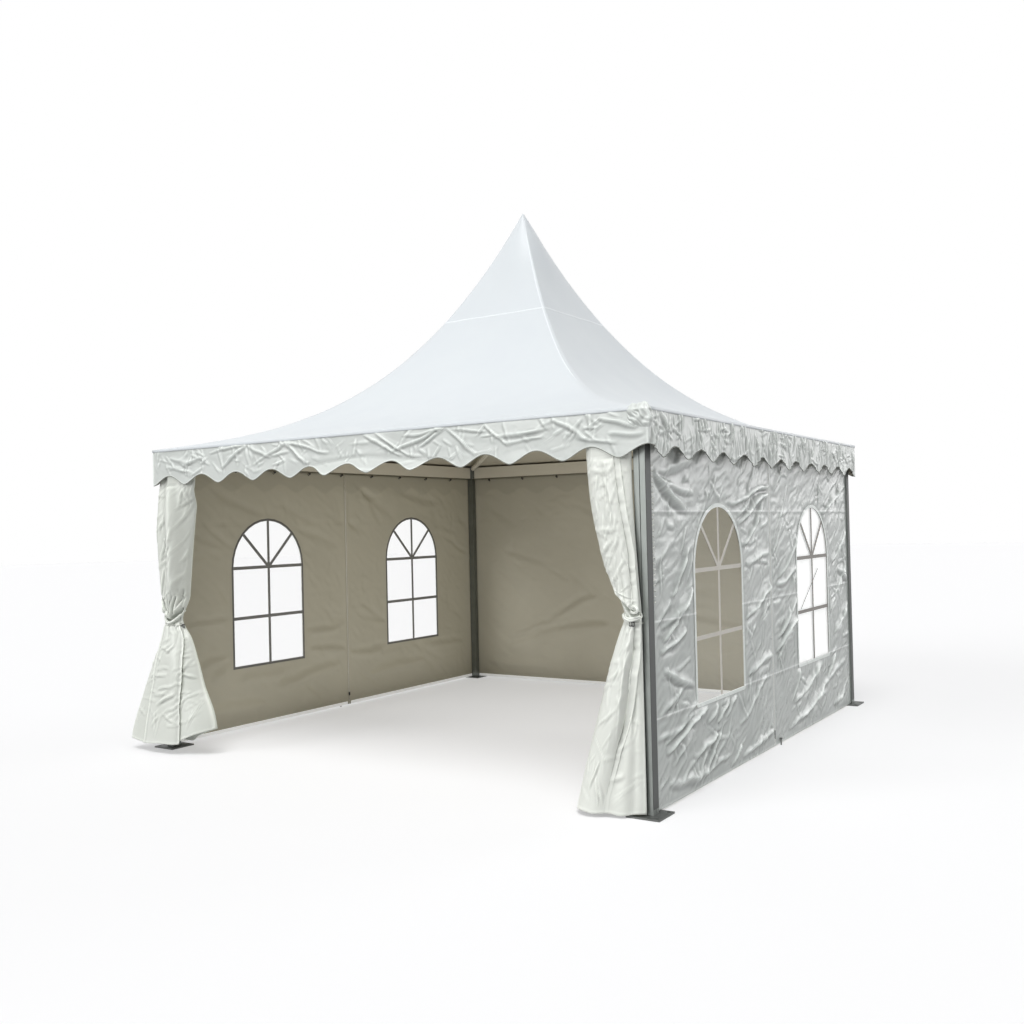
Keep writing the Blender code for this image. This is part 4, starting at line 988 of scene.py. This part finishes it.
def makeZip(side, turns):
    low, high = wallSheet["bottom"] + 0.004, beamUnderside - 0.02
    thickness, tape = wallSheet["thickness"], wallTrim["tapeThickness"]
    tapeHalf = (wallTrim["tapeOuter"] - wallTrim["tapeInner"]) / 2
    profile = stripProfile(tapeHalf, tape / 2, 0.0002)
    parts = []
    for sign in (-1, 1):
        for face in (wallFace, wallFace - thickness - tape):
            x, y = face + tape / 2, sign * (wallTrim["tapeInner"] + tapeHalf)
            parts.append(sweep([(x, y, low), (x, y, high)], profile, outwards))
    addTrim("zip_tape_" + side, parts, turns, zipTapeShadedInside)
    x = wallFace - thickness / 2
    profile = stripProfile(wallTrim["toothAcross"], wallTrim["toothDeep"], 0.0004)
    parts = []
    for count, z in enumerate(np.arange(low + 0.01, high, wallTrim["toothPitch"])):
        y = wallTrim["toothShift"] * (1 if count % 2 else -1)
        parts.append(sweep([(x, y, z), (x, y, z + wallTrim["toothHigh"])], profile, outwards))
    addTrim("zip_teeth_" + side, parts, turns, zipTapeShadedInside)


def makeHem(side, turns, split):
    # the turned-up hem shows as a white line inside; its finish glows, a painted light
    out = wallFace - wallSheet["thickness"] - 0.0014
    edge, gap, half = legInside - 0.003, wallTrim["hemGap"], wallTrim["hemHeight"] / 2
    parts = []
    for u0, u1 in (((-edge, -gap), (gap, edge)) if split else ((-edge, edge),)):
        path = [(out, u, wallSheet["bottom"] + half) for u in np.linspace(u0, u1, 60)]
        parts.append(sweep(path, stripProfile(wallTrim["hemThickness"], half, 0.0006)))
    addTrim("wall_hem_" + side, parts, turns, paintedGlowHemVinyl)


def makeLacing(side, turns, sign):
    # short laces from the front edge of the wall to the leg's groove, in the step beside the leg
    parts = []
    run = np.linspace(0, 1, 9)
    u = legInside - wallTrim["laceLength"] + run * (wallTrim["laceLength"] + 0.004)
    out = wallFace + wallTrim["laceRadius"] + 0.006 * np.sin(run * np.pi) ** 0.7
    for z in np.arange(wallTrim["laceLow"], wallTrim["laceHigh"], wallTrim["lacePitch"]):
        path = np.stack([out, sign * u, z + 0.004 * np.sin(run * np.pi * 1.5 + z * 40)], 1)
        parts.append(sweep(path, roundProfile(wallTrim["laceRadius"]), outwards))
    addTrim("wall_lacing_" + side, parts, turns, webbing)


def makeWindowWelds(side, turns):
    # the wall's edge is sealed over the frame strip of each window, whose last millimetres still show
    half, corner = window["width"] / 2 + wallTrim["weldOut"], wallTrim["weldCorner"]
    low = window["sill"] - wallTrim["weldOut"]
    turn, head = np.linspace(0, math.pi / 2, 6), np.linspace(0, math.pi, 49)
    right = np.stack([half - corner + corner * np.sin(turn), low + corner - corner * np.cos(turn)], 1)
    arch = np.stack([half * np.cos(head), window["spring"] + half * np.sin(head)], 1)
    ring = np.concatenate([[(0, low)], right, arch, right[::-1] * (-1, 1), [(0, low)]])
    out = np.full(len(ring), wallFace + wallTrim["weldFace"])
    parts = []
    for centre in (-window["centre"], window["centre"]):
        path = np.stack([out, centre + ring[:, 0], ring[:, 1]], 1)
        parts.append(sweep(path, stripProfile(wallTrim["weldHalf"], 0.0006, 0.0004), outwards))
    addTrim("window_welds_" + side, parts, turns, wallVinyl)


def makeHooks(side, turns):
    # nylon hooks that run in the rail and hold the top of the wall
    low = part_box("wall_rail_right")[0]
    parts = []
    for number in range(wallTrim["hookCount"]):
        u = wallTrim["hookFirst"] - number * wallTrim["hookPitch"]
        wire = [(low.x + 0.006 + out, u, low.z + rise) for out, rise in metres(wallTrim["hookWire"])]
        parts.append(sweep(wire, roundProfile(wallTrim["hookRadius"]), (0, 1, 0)))
        roller = [(low.x + out, u, low.z - 0.002) for out in (-0.004, 0.001, 0.012)]
        parts.append(sweep(roller, roundProfile(wallTrim["rollerRadius"], 14)))
    addTrim("rail_hooks_" + side, parts, turns, finishes["black_nylon"])


def makeLegSeals():
    # dark cover strips that close the legs' outer sides; their dark grey also stands in for the shade on
    # those sides, a painted shade
    profile = stripProfile((legFace - legInside) / 2 - 0.002, 0.0008, 0.0006)
    parts = []
    for sx in (-1, 1):
        for sy in (-1, 1):
            x, y = sx * (legFace + 0.001), sy * (legInside + legFace) / 2
            parts.append(sweep([(x, y, legLow.z + 0.03), (x, y, legHigh.z - 0.002)], profile, outwards))
    addTrim("leg_seal_strips", parts, 0, sealWithPaintedShade)


makeZip("right", 0)
makeZip("left", 2)
for side, turns in (("right", 0), ("rear", 1), ("left", 2)):
    makeHem(side, turns, side != "rear")
makeLacing("right", 0, -1)
makeLacing("left", 2, 1)
makeWindowWelds("right", 0)
makeWindowWelds("left", 2)
for side, turns in (("right", 0), ("rear", 1), ("left", 2)):
    makeHooks(side, turns)
makeLegSeals()
print("wall trim made")


# Blind behind the rear right window

blind = {
    "thickness": 0.0012,
    "sag": 0.006,
    "rows": 84,
    "columns": 60,
    "tapeWidth": 0.007,
    "tapeStart": (1.114, 1.205),
    "tapeEnd": (0.671, 0.917),
}


def makeBlind():
    low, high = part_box("window_blind_right_rear")
    rows, columns = blind["rows"], blind["columns"]
    u2, z2 = np.meshgrid(np.linspace(low.y, high.y, columns), np.linspace(low.z, high.z - 0.001, rows))
    edge = ease(u2 - low.y, 0, 0.08) * ease(high.y - u2, 0, 0.08) * ease(high.z - z2, 0.0, 0.2)
    wave = 0.5 + 0.5 * clothNoise(u2 * 5, z2 * 2.2, 101) + 0.3 * foldField(u2, z2, 78, 0.2, 0.8, 102)
    points = np.stack([high.x - 0.0008 - blind["sag"] * np.clip(wave, 0, 1.4) * edge, u2, z2], -1)
    # its finish glows: painted light
    sheet = addPiece("window_blind_sheet", points, gridFaces(rows, columns), [paintedGlowBlindVinyl])
    addThickness(sheet, blind["thickness"])
    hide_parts("window_blind_right_rear")
    # its pull tape, drawn across the face
    (u0, z0), (u1, z1) = blind["tapeStart"], blind["tapeEnd"]
    path = [(high.x - 0.0001, u0 + (u1 - u0) * s, z0 + (z1 - z0) * s) for s in np.linspace(0, 1, 24)]
    tape = sweep(path, stripProfile(blind["tapeWidth"] / 2, 0.0004, 0.0002), outwards)
    addTrim("blind_pull_tape", [tape], 0, darkCord)


makeBlind()
print("blind made")


# Front curtains, gathered and tied

leftCurtain = {
    # in mm: height, outer edge and inner edge in x, and how far the cloth's face stands out in y
    "stations": (
        (60, -2215, -1416, 2170), (150, -2202, -1436, 2160), (410, -2128, -1537, 2130),
        (660, -2042, -1614, 2100), (830, -1985, -1690, 2070), (955, -1946, -1782, 2056),
        (1040, -1954, -1762, 2066), (1175, -1978, -1742, 2088), (1340, -1996, -1722, 2092),
        (1600, -2012, -1688, 2088), (1900, -2014, -1640, 2052), (1960, -2012, -1628, 2039),
        (2094, -2012, -1624, 2037),
    ),
    "hem": 0.058,
    "hemLine": ((0, 0.24, 0.66, 0.70, 1), (0.024, 0.006, 0.020, 0.050, 0.135)),
    "outerForward": ((0.1, 0.55, 0.85), (0.85, 0.50, 0.12)),  # how far the outer edge comes out with the face
    "peak": ((0.5, 0.9, 1.2, 1.5, 1.9), (0.34, 0.42, 0.42, 0.40, 0.38)),  # where across it stands out most
    "turnedBack": 0.045,  # how far the inner edge goes back into the tent above the tie
    # each pleat: columns of the sheet, which side lies on top, heights, shares across, and strength there
    "pleats": (
        (0.26, 1, (0.07, 0.3, 0.5, 0.7, 0.93), (0.248, 0.255, 0.248, 0.189, 0.08), (1, 1, 1, 0.9, 0.4)),
        (0.70, -1, (0.07, 0.3, 0.5, 0.7, 0.93), (0.677, 0.70, 0.760, 0.802, 0.92), (1, 1, 1, 0.9, 0.4)),
    ),
    "raised": (0.90, 0.96),  # the pleats open out between these heights
    "tieLine": ((0, 0.5, 1), (1.018, 0.950, 1.050)),  # the lower edge of the cloth that hangs over the tie
    "tieFine": (0.90, 1.16),
    # in mm: its own folds, as the photograph shows them
    "folds": (
        (-1950, 1380, -1915, 1545, 9, 8), (-1915, 1550, -1830, 1595, 9, 9), (-1970, 560, -1810, 566, 8, 8),
        (-1910, 450, -1740, 488, 9, 9), (-1880, 355, -1730, 430, 12, 11), (-1710, 735, -1630, 750, 7, 8),
        (-1710, 692, -1630, 708, 7, 8), (-1900, 760, -1800, 735, 8, 8), (-1680, 560, -1580, 520, 12, 10),
        (-1955, 1120, -1925, 1340, 10, 10), (-1935, 1125, -1885, 1000, 7, -24),
        (-1905, 1070, -1860, 985, 6, -24), (-1790, 1140, -1845, 990, 7, -24),
        (-1830, 1110, -1865, 1010, 6, -14), (-1755, 1190, -1800, 1040, 8, -20),
    ),
}
rightCurtain = {
    "stations": (
        (20, 1972, 1562, 2150), (150, 1971, 1594, 2136), (600, 1968, 1716, 2098), (850, 1966, 1785, 2078),
        (1000, 1965, 1836, 2062), (1090, 1964, 1864, 2050), (1140, 1962, 1856, 2052),
        (1230, 1956, 1810, 2060), (1355, 1948, 1750, 2062), (1480, 1940, 1716, 2060),
        (1730, 1928, 1665, 2054), (1900, 1925, 1650, 2044), (1960, 1925, 1645, 2039),
        (2094, 1925, 1640, 2037),
    ),
    "hem": 0.016,
    "hemLine": ((0, 0.3, 0.6, 1), (0.002, 0.0, 0.006, 0.010)),
    "outerForward": ((0.1, 0.55), (0.12, 0.12)),
    "peak": ((0.3, 0.9, 1.3, 1.9), (0.68, 0.60, 0.42, 0.50)),
    "turnedBack": 0.0,
    "pleats": (
        (
            0.24, 1, (0.1, 0.35, 0.535, 0.686, 0.85, 1.1, 1.43, 1.7, 1.98),
            (0.49, 0.40, 0.30, 0.23, 0.15, 0.10, 0.08, 0.185, 0.29),
            (0.1, 0.35, 0.9, 1, 1, 0.4, 0.7, 0.8, 0.8),
        ),
    ),
    "raised": (2.2, 2.3),
    "tieLine": ((0, 0.4, 1), (1.100, 1.125, 1.195)),
    "tieFine": (1.02, 1.26),
    "folds": (
        (1720, 660, 1790, 720, 12, 8), (1780, 740, 1860, 800, 10, 7), (1800, 200, 1870, 240, 14, 8),
        (1720, 1300, 1820, 1360, 10, 7), (1700, 1400, 1820, 1500, 10, 7), (1680, 1580, 1800, 1520, 10, 6),
        (1800, 1250, 1900, 1400, 9, 8), (1780, 1860, 1840, 1660, 12, 6), (1938, 950, 1848, 380, 11, -24),
    ),
}
curtainCloth = {
    "back": 2.0045,
    "legFront": 2.0035,  # the cloth stays in front of the leg,
    "besideLeg": (1.925, 0.06),  # and may go back a little beside it
    "valanceBack": 2.0415,
    "thickness": 0.0016,
    "rows": 230,
    "fineRows": 80,
    "frontColumns": 104,
    "backColumns": 34,
    "edgeForward": 0.12,
    "pleatShare": 0.05,  # share of the columns to each side of a pleat
    "pleatHalf": 0.013,  # metres to each side of a pleat that those columns cover
    "overlap": 0.026,
    "rise": 0.018,
    "pouch": 0.022,  # how far the cloth bulges over the tie
    "tuck": 0.040,  # how deep it goes in under the bulge
}


def stationCurves(stations, z):
    # smooth interpolation of each column of a table at the heights z
    heights, *columns = np.array(metres(stations)).T
    index = np.clip(np.searchsorted(heights, z) - 1, 0, len(heights) - 2)
    gap = heights[index + 1] - heights[index]
    share = np.clip((z - heights[index]) / gap, 0, 1)
    square, cube = share**2, share**3
    curves = []
    for values in columns:
        slope = np.gradient(values, heights)
        curves.append(
            (2 * cube - 3 * square + 1) * values[index] + (cube - 2 * square + share) * gap * slope[index]
            + (3 * square - 2 * cube) * values[index + 1] + (cube - square) * gap * slope[index + 1]
        )
    return curves


def tuckedPleats(count, t, sharpness=0.8):
    # cloth drawn together: round crests with sharp valleys between them
    return np.abs(np.sin(np.pi * count * t)) ** sharpness - 0.6


def leftFolds(t, z, x):
    # depth of the left curtain's face, negative where it tucks in
    gather = crest(z - 1.04, 0.11) * ease(z, 0.93, 0.99) + 0.5 * crest(z - 0.90, 0.10)
    lean = t + 1.1 * (z - 0.965) * (t - 0.55)
    relief = 0.018 * gather * tuckedPleats(4.2, lean + 0.06 * clothNoise(t * 4, z * 12, 88))
    # one broad ridge runs down to the tie, with a hollow at its left that ends in a small arch
    ridge = x - np.interp(z, (1.0, 1.2, 1.5, 1.9), (-1.85, -1.80, -1.80, -1.845))
    relief = relief + ease(z, 1.02, 1.25) * (0.034 * crest(ridge, 0.050) - 0.018 * crest(ridge + 0.095, 0.05))
    relief = relief - 0.018 * crest(np.hypot((x + 1.905) / 0.050, (z - 1.42) / 0.17), 1.0)
    relief = relief + 0.010 * (1 - ease(z, 0.60, 0.85)) * np.sin(t * np.pi * 3.0 + 0.3)
    folds = metres(leftCurtain["folds"])
    folds += scatterFolds(91, 100, (-2.2, 0.15), (-1.4, 0.95), (15, 35), (0.15, 0.008, 0.0055))
    folds += scatterFolds(92, 70, (-2.0, 1.05), (-1.6, 1.95), (70, 25), (0.20, 0.010, 0.0060))
    return relief + foldStrokes(*bent(x, z, 0.010, 0.12, 90), folds)


def rightFolds(t, z, x):
    # t runs from the leg to the free edge
    gather = crest(z - 1.19, 0.09) * ease(z, 1.11, 1.17) + 0.6 * crest(z - 1.03, 0.09)
    relief = 0.011 * gather * tuckedPleats(3.3, t + 0.9 * (z - 1.10))
    # below the tie a soft valley leads down from the pleat, with a smaller one beside the leg
    low = 1 - ease(z, 0.50, 0.80)
    valley = np.interp(z, (0.1, 0.35, 0.6), (0.46, 0.37, 0.26))
    relief = relief - 0.022 * low * crest(t - valley, 0.13) - 0.012 * low * crest(t - 0.17, 0.06)
    relief = relief + 0.007 * crest(t - 0.80, 0.12) * ease(z, 1.2, 1.5)
    folds = metres(rightCurtain["folds"])
    folds += scatterFolds(95, 90, (1.56, 0.10), (1.99, 1.05), (55, 40), (0.13, 0.008, 0.0042))
    folds += scatterFolds(96, 120, (1.64, 1.15), (1.94, 1.98), (50, 40), (0.12, 0.008, 0.0045))
    return relief + foldStrokes(*bent(x, z, 0.010, 0.12, 94), folds)


def pleatedCloth(shape, level, even, width):
    # spreads the columns so that each pleat has close ones, and folds the cloth over itself there;
    # gives the share across, the move sideways and the rise, one row for each height
    reach = curtainCloth["pleatShare"]
    half = curtainCloth["pleatHalf"] / width
    knots, places = [np.zeros_like(level)], [np.zeros_like(level)]
    for centre, _, heights, shares, _ in shape["pleats"]:
        line = np.interp(level, heights, shares)
        for sign in (-1, 1):
            knots.append(np.full_like(level, centre + sign * reach))
            places.append(np.clip(line + sign * half, 0.004, 0.996))
    knots.append(np.ones_like(level))
    places.append(np.ones_like(level))
    knots, places = np.array(knots).T, np.array(places).T
    places = np.maximum.accumulate(places + np.linspace(0, 0.001, places.shape[1]), 1)
    places /= places[:, -1:]
    share = np.array([np.interp(even, k, p) for k, p in zip(knots, places)])
    aside, rise = np.zeros_like(share), np.zeros_like(share)
    for centre, sign, heights, _, strengths in shape["pleats"]:
        strength = np.interp(level, heights, strengths) * (1 - ease(level, *shape["raised"]))
        run = sign * np.clip((even - centre) / reach, -1, 1)[None, :]
        aside -= sign * curtainCloth["overlap"] * strength[:, None] * np.sin(np.pi * run) * (1 - run * run)
        away = np.maximum(sign * (even - centre) - reach, 0) / 0.12
        above = ease(run, -0.5, 0.5) * (0.40 * np.exp(-away) + 1.1 * away * np.exp(1 - away))
        rise += curtainCloth["rise"] * strength[:, None] * above
    return share, aside, rise


def curtainLevels(shape):
    # heights of the rows, close together where the cloth hangs over the tie
    hem, (low, high), top = shape["hem"], shape["tieFine"], curtainTop - 0.002
    rows, fine = curtainCloth["rows"], curtainCloth["fineRows"]
    below = max(int((rows - fine) * (low - hem) / (curtainTop - hem - (high - low))), 12)
    return np.concatenate([
        np.linspace(hem, low, below, endpoint=False), np.linspace(low, high, fine, endpoint=False),
        np.linspace(high, top, rows - below - fine),
    ])


def tieOverhang(shape, t, height):
    # the bulge over the tie, and the sharp tuck under it
    above = height - np.interp(t, *shape["tieLine"])
    bulge = ease(above, 0.002, 0.018) * np.exp(-np.maximum(above - 0.03, 0) / 0.06)
    return curtainCloth["pouch"] * bulge - curtainCloth["tuck"] * crest(above + 0.012, 0.016)


def makeCurtain(side, shape, sign, folds, vinyl):
    back, stub = curtainCloth["back"], curtainCloth["edgeForward"]
    level = curtainLevels(shape)
    outer, inner, face = stationCurves(shape["stations"], level)
    even = np.linspace(0, 1, curtainCloth["frontColumns"])
    t, aside, rise = pleatedCloth(shape, level, even, np.abs(inner - outer))
    o, i, f = (curve[:, None] for curve in (outer, inner, face))
    height = level[:, None] + 0 * t
    x = o + (i - o) * t
    skewed = t ** (math.log(0.5) / np.log(np.interp(height, *shape["peak"])))
    bulge = np.sqrt(np.clip(1 - np.abs(2 * skewed - 1) ** 2.3, 0, 1))
    fade = ease(t, 0.0, 0.06) * ease(1 - t, 0.0, 0.05)
    turnedBack = (shape["turnedBack"] * ease(level, 0.99, 1.14) * (1 - ease(level, 1.78, 1.93)))[:, None]
    rest = np.where(skewed < 0.5, np.interp(height, *shape["outerForward"]), stub)
    out = back + (f - back) * (rest + (1 - rest) * bulge) + (folds(t, height, x) + rise) * fade
    out = out - turnedBack * ease(t, 0.62, 1.0)
    out = out + tieOverhang(shape, t, height) * ease(t, 0.0, 0.10) * ease(1 - t, 0.0, 0.10)
    limit = curtainCloth["valanceBack"] + 0.2 * (1 - ease(height, 1.90, 1.955))
    front = np.stack([x + aside, np.minimum(out, limit), height], -1)
    tail = np.linspace(1, 0.10, curtainCloth["backColumns"])[None, 1:] + 0 * level[:, None]
    wave = np.sin((1 - tail) * 2 * np.pi * 2.5) * 0.003 * ease(1 - tail, 0.0, 0.2)
    out = back + ((f - back) * stub - turnedBack) * tail**4 + np.maximum(wave, 0)
    behind = np.stack([o + (i - o) * tail, out, level[:, None] + 0 * tail], -1)
    points = np.concatenate([front, behind], 1)
    share = np.concatenate([t, tail], 1)
    legEdge, depth = curtainCloth["besideLeg"]
    beside = ease(legEdge - np.abs(points[..., 0]), 0.0, 0.03)
    points[..., 1] = -np.maximum(points[..., 1], curtainCloth["legFront"] - depth * beside)
    lift = np.interp(share, *shape["hemLine"]) * (1 - ease(points[..., 2], 0.05, 0.75))
    points[..., 2] += lift + 0.003 * np.sin(share * 17) * (1 - ease(points[..., 2], 0.03, 0.3))
    faces = gridFaces(*points.shape[:2])
    if sign > 0:
        faces = [face[::-1] for face in faces]
    curtain = addPiece("curtain_cloth_" + side, points, faces, [vinyl], side + "_curtain")
    addThickness(curtain, curtainCloth["thickness"])
    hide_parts("curtain_" + side)


# Ties round the curtains

curtainTie = {
    "lobes": 5,
    "lobeDepth": 0.20,
    "twist": 1.3,
    "sides": 28,
    "steps": 44,
    "strapHalf": 0.009,
    "railRadius": 0.0028,
    "barRadius": 0.0024,
    "railHalf": 0.016,
    "railsApart": 0.011,  # each from the buckle's middle
    "barsApart": 0.014,
    "barHalf": 0.012,
    "bandBack": 2.010,
}


def twistedRoll(path, radius, flat, seed):
    # cloth rolled up and twisted along a path, with the valleys of its pleats winding round it
    path = np.asarray(path, float)
    fine = np.linspace(0, len(path) - 1, curtainTie["steps"])
    whole = np.clip(fine.astype(int), 0, len(path) - 2)
    share = (fine - whole)[:, None]
    padded = np.vstack([2 * path[0] - path[1], path, 2 * path[-1] - path[-2]])
    a, b, c, d = (padded[whole + step] for step in range(4))
    slope, bend, turn = c - a, 2 * a - 5 * b + 4 * c - d, 3 * (b - c) + d - a
    curve = 0.5 * (2 * b + slope * share + bend * share**2 + turn * share**3)
    sides = curtainTie["sides"]
    points, faces = sweep(curve, roundProfile(1.0, sides), (0, -1, 0))
    run = np.linspace(0, 1, len(fine))[:, None]
    angle = np.linspace(0, 2 * np.pi, sides, endpoint=False)[None, :]
    winding = curtainTie["lobes"] * angle + 2 * np.pi * curtainTie["twist"] * run + seed
    lobe = np.abs(np.cos(winding / 2)) ** 0.7
    size = radius * (1 - curtainTie["lobeDepth"] * 2 * (1 - lobe)) * (0.8 + 0.2 * np.sin(np.pi * run) ** 0.5)
    offset = points.reshape(len(fine), sides, 3) - curve[:, None, :]
    offset[..., 1] *= flat
    return (curve[:, None, :] + offset * size[..., None]).reshape(-1, 3), faces


def makeTie(side, rolls, strap, buckle, vinyl):
    # rolls hold the gathered cloth's own folds at the tie; a thin band with a buckle runs round below them
    body = side + "_curtain"
    points, faces = joined([twistedRoll(*roll, number * 1.7) for number, roll in enumerate(rolls)])
    addPiece("tie_folds_" + side, points, faces, [vinyl], body)
    low, high, out, level, tilt = strap
    run = np.linspace(0, 1, 40)
    forward = -curtainTie["bandBack"] - out * np.sin(np.pi * run) ** 0.5
    path = np.stack([low + (high - low) * run, forward, level + tilt * run], 1)
    band = sweep(path, stripProfile(curtainTie["strapHalf"], 0.0010, 0.0005))
    band = addTrim("tie_band_" + side, [band], 0, webbing, body)
    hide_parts("tie_strap_" + side)
    # a ladder buckle: two rails and three bars
    x, y, z = buckle
    rail, bar = roundProfile(curtainTie["railRadius"]), roundProfile(curtainTie["barRadius"])
    half, apart = curtainTie["railHalf"], curtainTie["railsApart"]
    parts = [sweep([(x - half, y, z + off), (x + half, y, z + off)], rail) for off in (-apart, apart)]
    half, apart = curtainTie["barHalf"], curtainTie["barsApart"]
    for off in (-apart, 0.0, apart):
        parts.append(sweep([(x + off, y, z - half), (x + off, y, z + half)], bar, (0, 1, 0)))
    addTrim("tie_buckle_" + side, parts, 0, finishes["black_nylon"], body)


def makeTies():
    roll = metres((
        (-1950, -2030, 1004), (-1920, -2058, 966), (-1868, -2072, 938), (-1815, -2062, 958),
        (-1782, -2030, 998),
    ))
    strap, buckle = (-1.944, -1.772, 0.060, 0.922, 0.0), (-1.760, -2.030, 0.916)
    makeTie("left", [(roll, 0.0115, 0.9)], strap, buckle, paintedShadeCurtainVinyl)
    turn = np.linspace(-2.6, 3.0, 11)
    across, up = np.cos(turn), np.sin(turn)
    loop = np.stack([1.946 + 0.028 * across, -2.070 - 0.012 * across, 1.128 + 0.017 * up], 1)
    roll = metres(((1868, -2034, 1098), (1893, -2064, 1080), (1930, -2070, 1074), (1968, -2036, 1086)))
    strap, buckle = (1.866, 1.966, 0.054, 1.048, 0.004), (1.930, -2.064, 1.050)
    makeTie("right", [(loop, 0.0075, 0.9), (roll, 0.014, 0.8)], strap, buckle, curtainVinyl)


makeCurtain("left", leftCurtain, -1, leftFolds, paintedShadeCurtainVinyl)
makeCurtain("right", rightCurtain, 1, rightFolds, curtainVinyl)
makeTies()
print("curtains made")


# Camera at the photograph's place and angle, for a square picture

shot = {
    "place": (4.4808, -7.1364, 1.5924),
    "azimuth": 0.5778,
    "lookUp": 0.0138,
    "roll": -0.0227,
    "lens": 36.65,
    "sensor": 36.0,
}


def addCamera():
    eye = bpy.data.cameras.new("photo_camera")
    eye.sensor_width = shot["sensor"]
    eye.lens = shot["lens"]
    turn = Matrix.Rotation(shot["azimuth"], 4, "Z") @ Matrix.Rotation(math.pi / 2 + shot["lookUp"], 4, "X")
    scene.camera = addObject("photo_camera", eye)
    place, roll = Matrix.Translation(shot["place"]), Matrix.Rotation(shot["roll"], 4, "Z")
    scene.camera.matrix_world = place @ turn @ roll


# Floor, world and lamps

studio = {
    "floorRadius": 60.0,
    "floorSides": 64,
    "floorColour": "#bcbcbd",
    "floorLift": 0.39,
    "ambient": 0.37,
    # towards each lamp, strength, and how wide it is in degrees
    "lamps": (
        ("high_lamp", (0.17, -0.38, 0.91), 2.2, 34.0),
        ("front_lamp", (-0.46, -0.80, 0.36), 1.18, 32.0),
        ("rear_lamp", (0.40, 0.88, 0.26), 0.52, 28.0),
    ),
    # light that comes up from the pale floor, and down through the white roof
    "inside": (("floor_bounce", 3.5, 32.0, 0.005, math.pi), ("roof_glow", 2.0, 16.0, 2.30, 0.0)),
}


def seenRays(tree):
    # 1 for what the camera, a reflection or clear film sees, 0 for light that falls on the tent
    path = addNode(tree, "ShaderNodeLightPath")
    seen = path.outputs["Is Camera Ray"]
    for ray in ("Is Glossy Ray", "Is Transmission Ray"):
        seen = addNode(tree, "ShaderNodeMath", {0: seen, 1: path.outputs[ray]}, operation="MAXIMUM")
    return seen


def addFloor():
    # a wide round floor; what the camera sees of it is lifted to white, and shadows stay
    made, tree = newMaterial("matt_white_floor")
    matt = addNode(tree, "ShaderNodeBsdfDiffuse", {"Color": linearFromHex(studio["floorColour"])})
    amount = {0: seenRays(tree), 1: studio["floorLift"]}
    strength = addNode(tree, "ShaderNodeMath", amount, operation="MULTIPLY")
    lift = addNode(tree, "ShaderNodeEmission", {"Color": (1, 1, 1, 1), "Strength": strength})
    both = addNode(tree, "ShaderNodeAddShader", {0: matt, 1: lift})
    addNode(tree, "ShaderNodeOutputMaterial", {"Surface": both})
    radius, sides = studio["floorRadius"], studio["floorSides"]
    angles = np.linspace(0, 2 * math.pi, sides, False)
    ring = [(radius * math.cos(angle), radius * math.sin(angle), 0) for angle in angles]
    mesh = bpy.data.meshes.new("studio_floor")
    mesh.from_pydata(ring, [], [list(range(sides))])
    mesh.materials.append(made)
    addObject("studio_floor", mesh)


def addWorld():
    # plain white where the camera, a reflection or clear film sees it, dimmer as a light
    scene.world = bpy.data.worlds.new("studio_world")
    scene.world.use_nodes = True
    tree = scene.world.node_tree
    tree.nodes.clear()
    strength = addNode(
        tree, "ShaderNodeMapRange", {"Value": seenRays(tree), "To Min": studio["ambient"], "To Max": 1.0},
    )
    sky = addNode(tree, "ShaderNodeBackground", {"Color": (1, 1, 1, 1), "Strength": strength})
    addNode(tree, "ShaderNodeOutputWorld", {"Surface": sky})


def addLamps():
    for name, direction, strength, width in studio["lamps"]:
        lamp = bpy.data.lights.new(name, "SUN")
        lamp.energy = strength
        lamp.angle = math.radians(width)
        addObject(name, lamp).rotation_euler = Vector(direction).to_track_quat("Z", "Y").to_euler()
    for name, size, power, height, turn in studio["inside"]:
        lamp = bpy.data.lights.new(name, "AREA")
        lamp.size = size
        lamp.energy = power
        holder = addObject(name, lamp)
        holder.location = (0, 0, height)
        holder.rotation_euler = (turn, 0, 0)
        holder.visible_camera = False
        holder.visible_glossy = False


addCamera()
addFloor()
addWorld()
addLamps()
scene.view_settings.view_transform = "Standard"
print("camera, floor and lamps set")
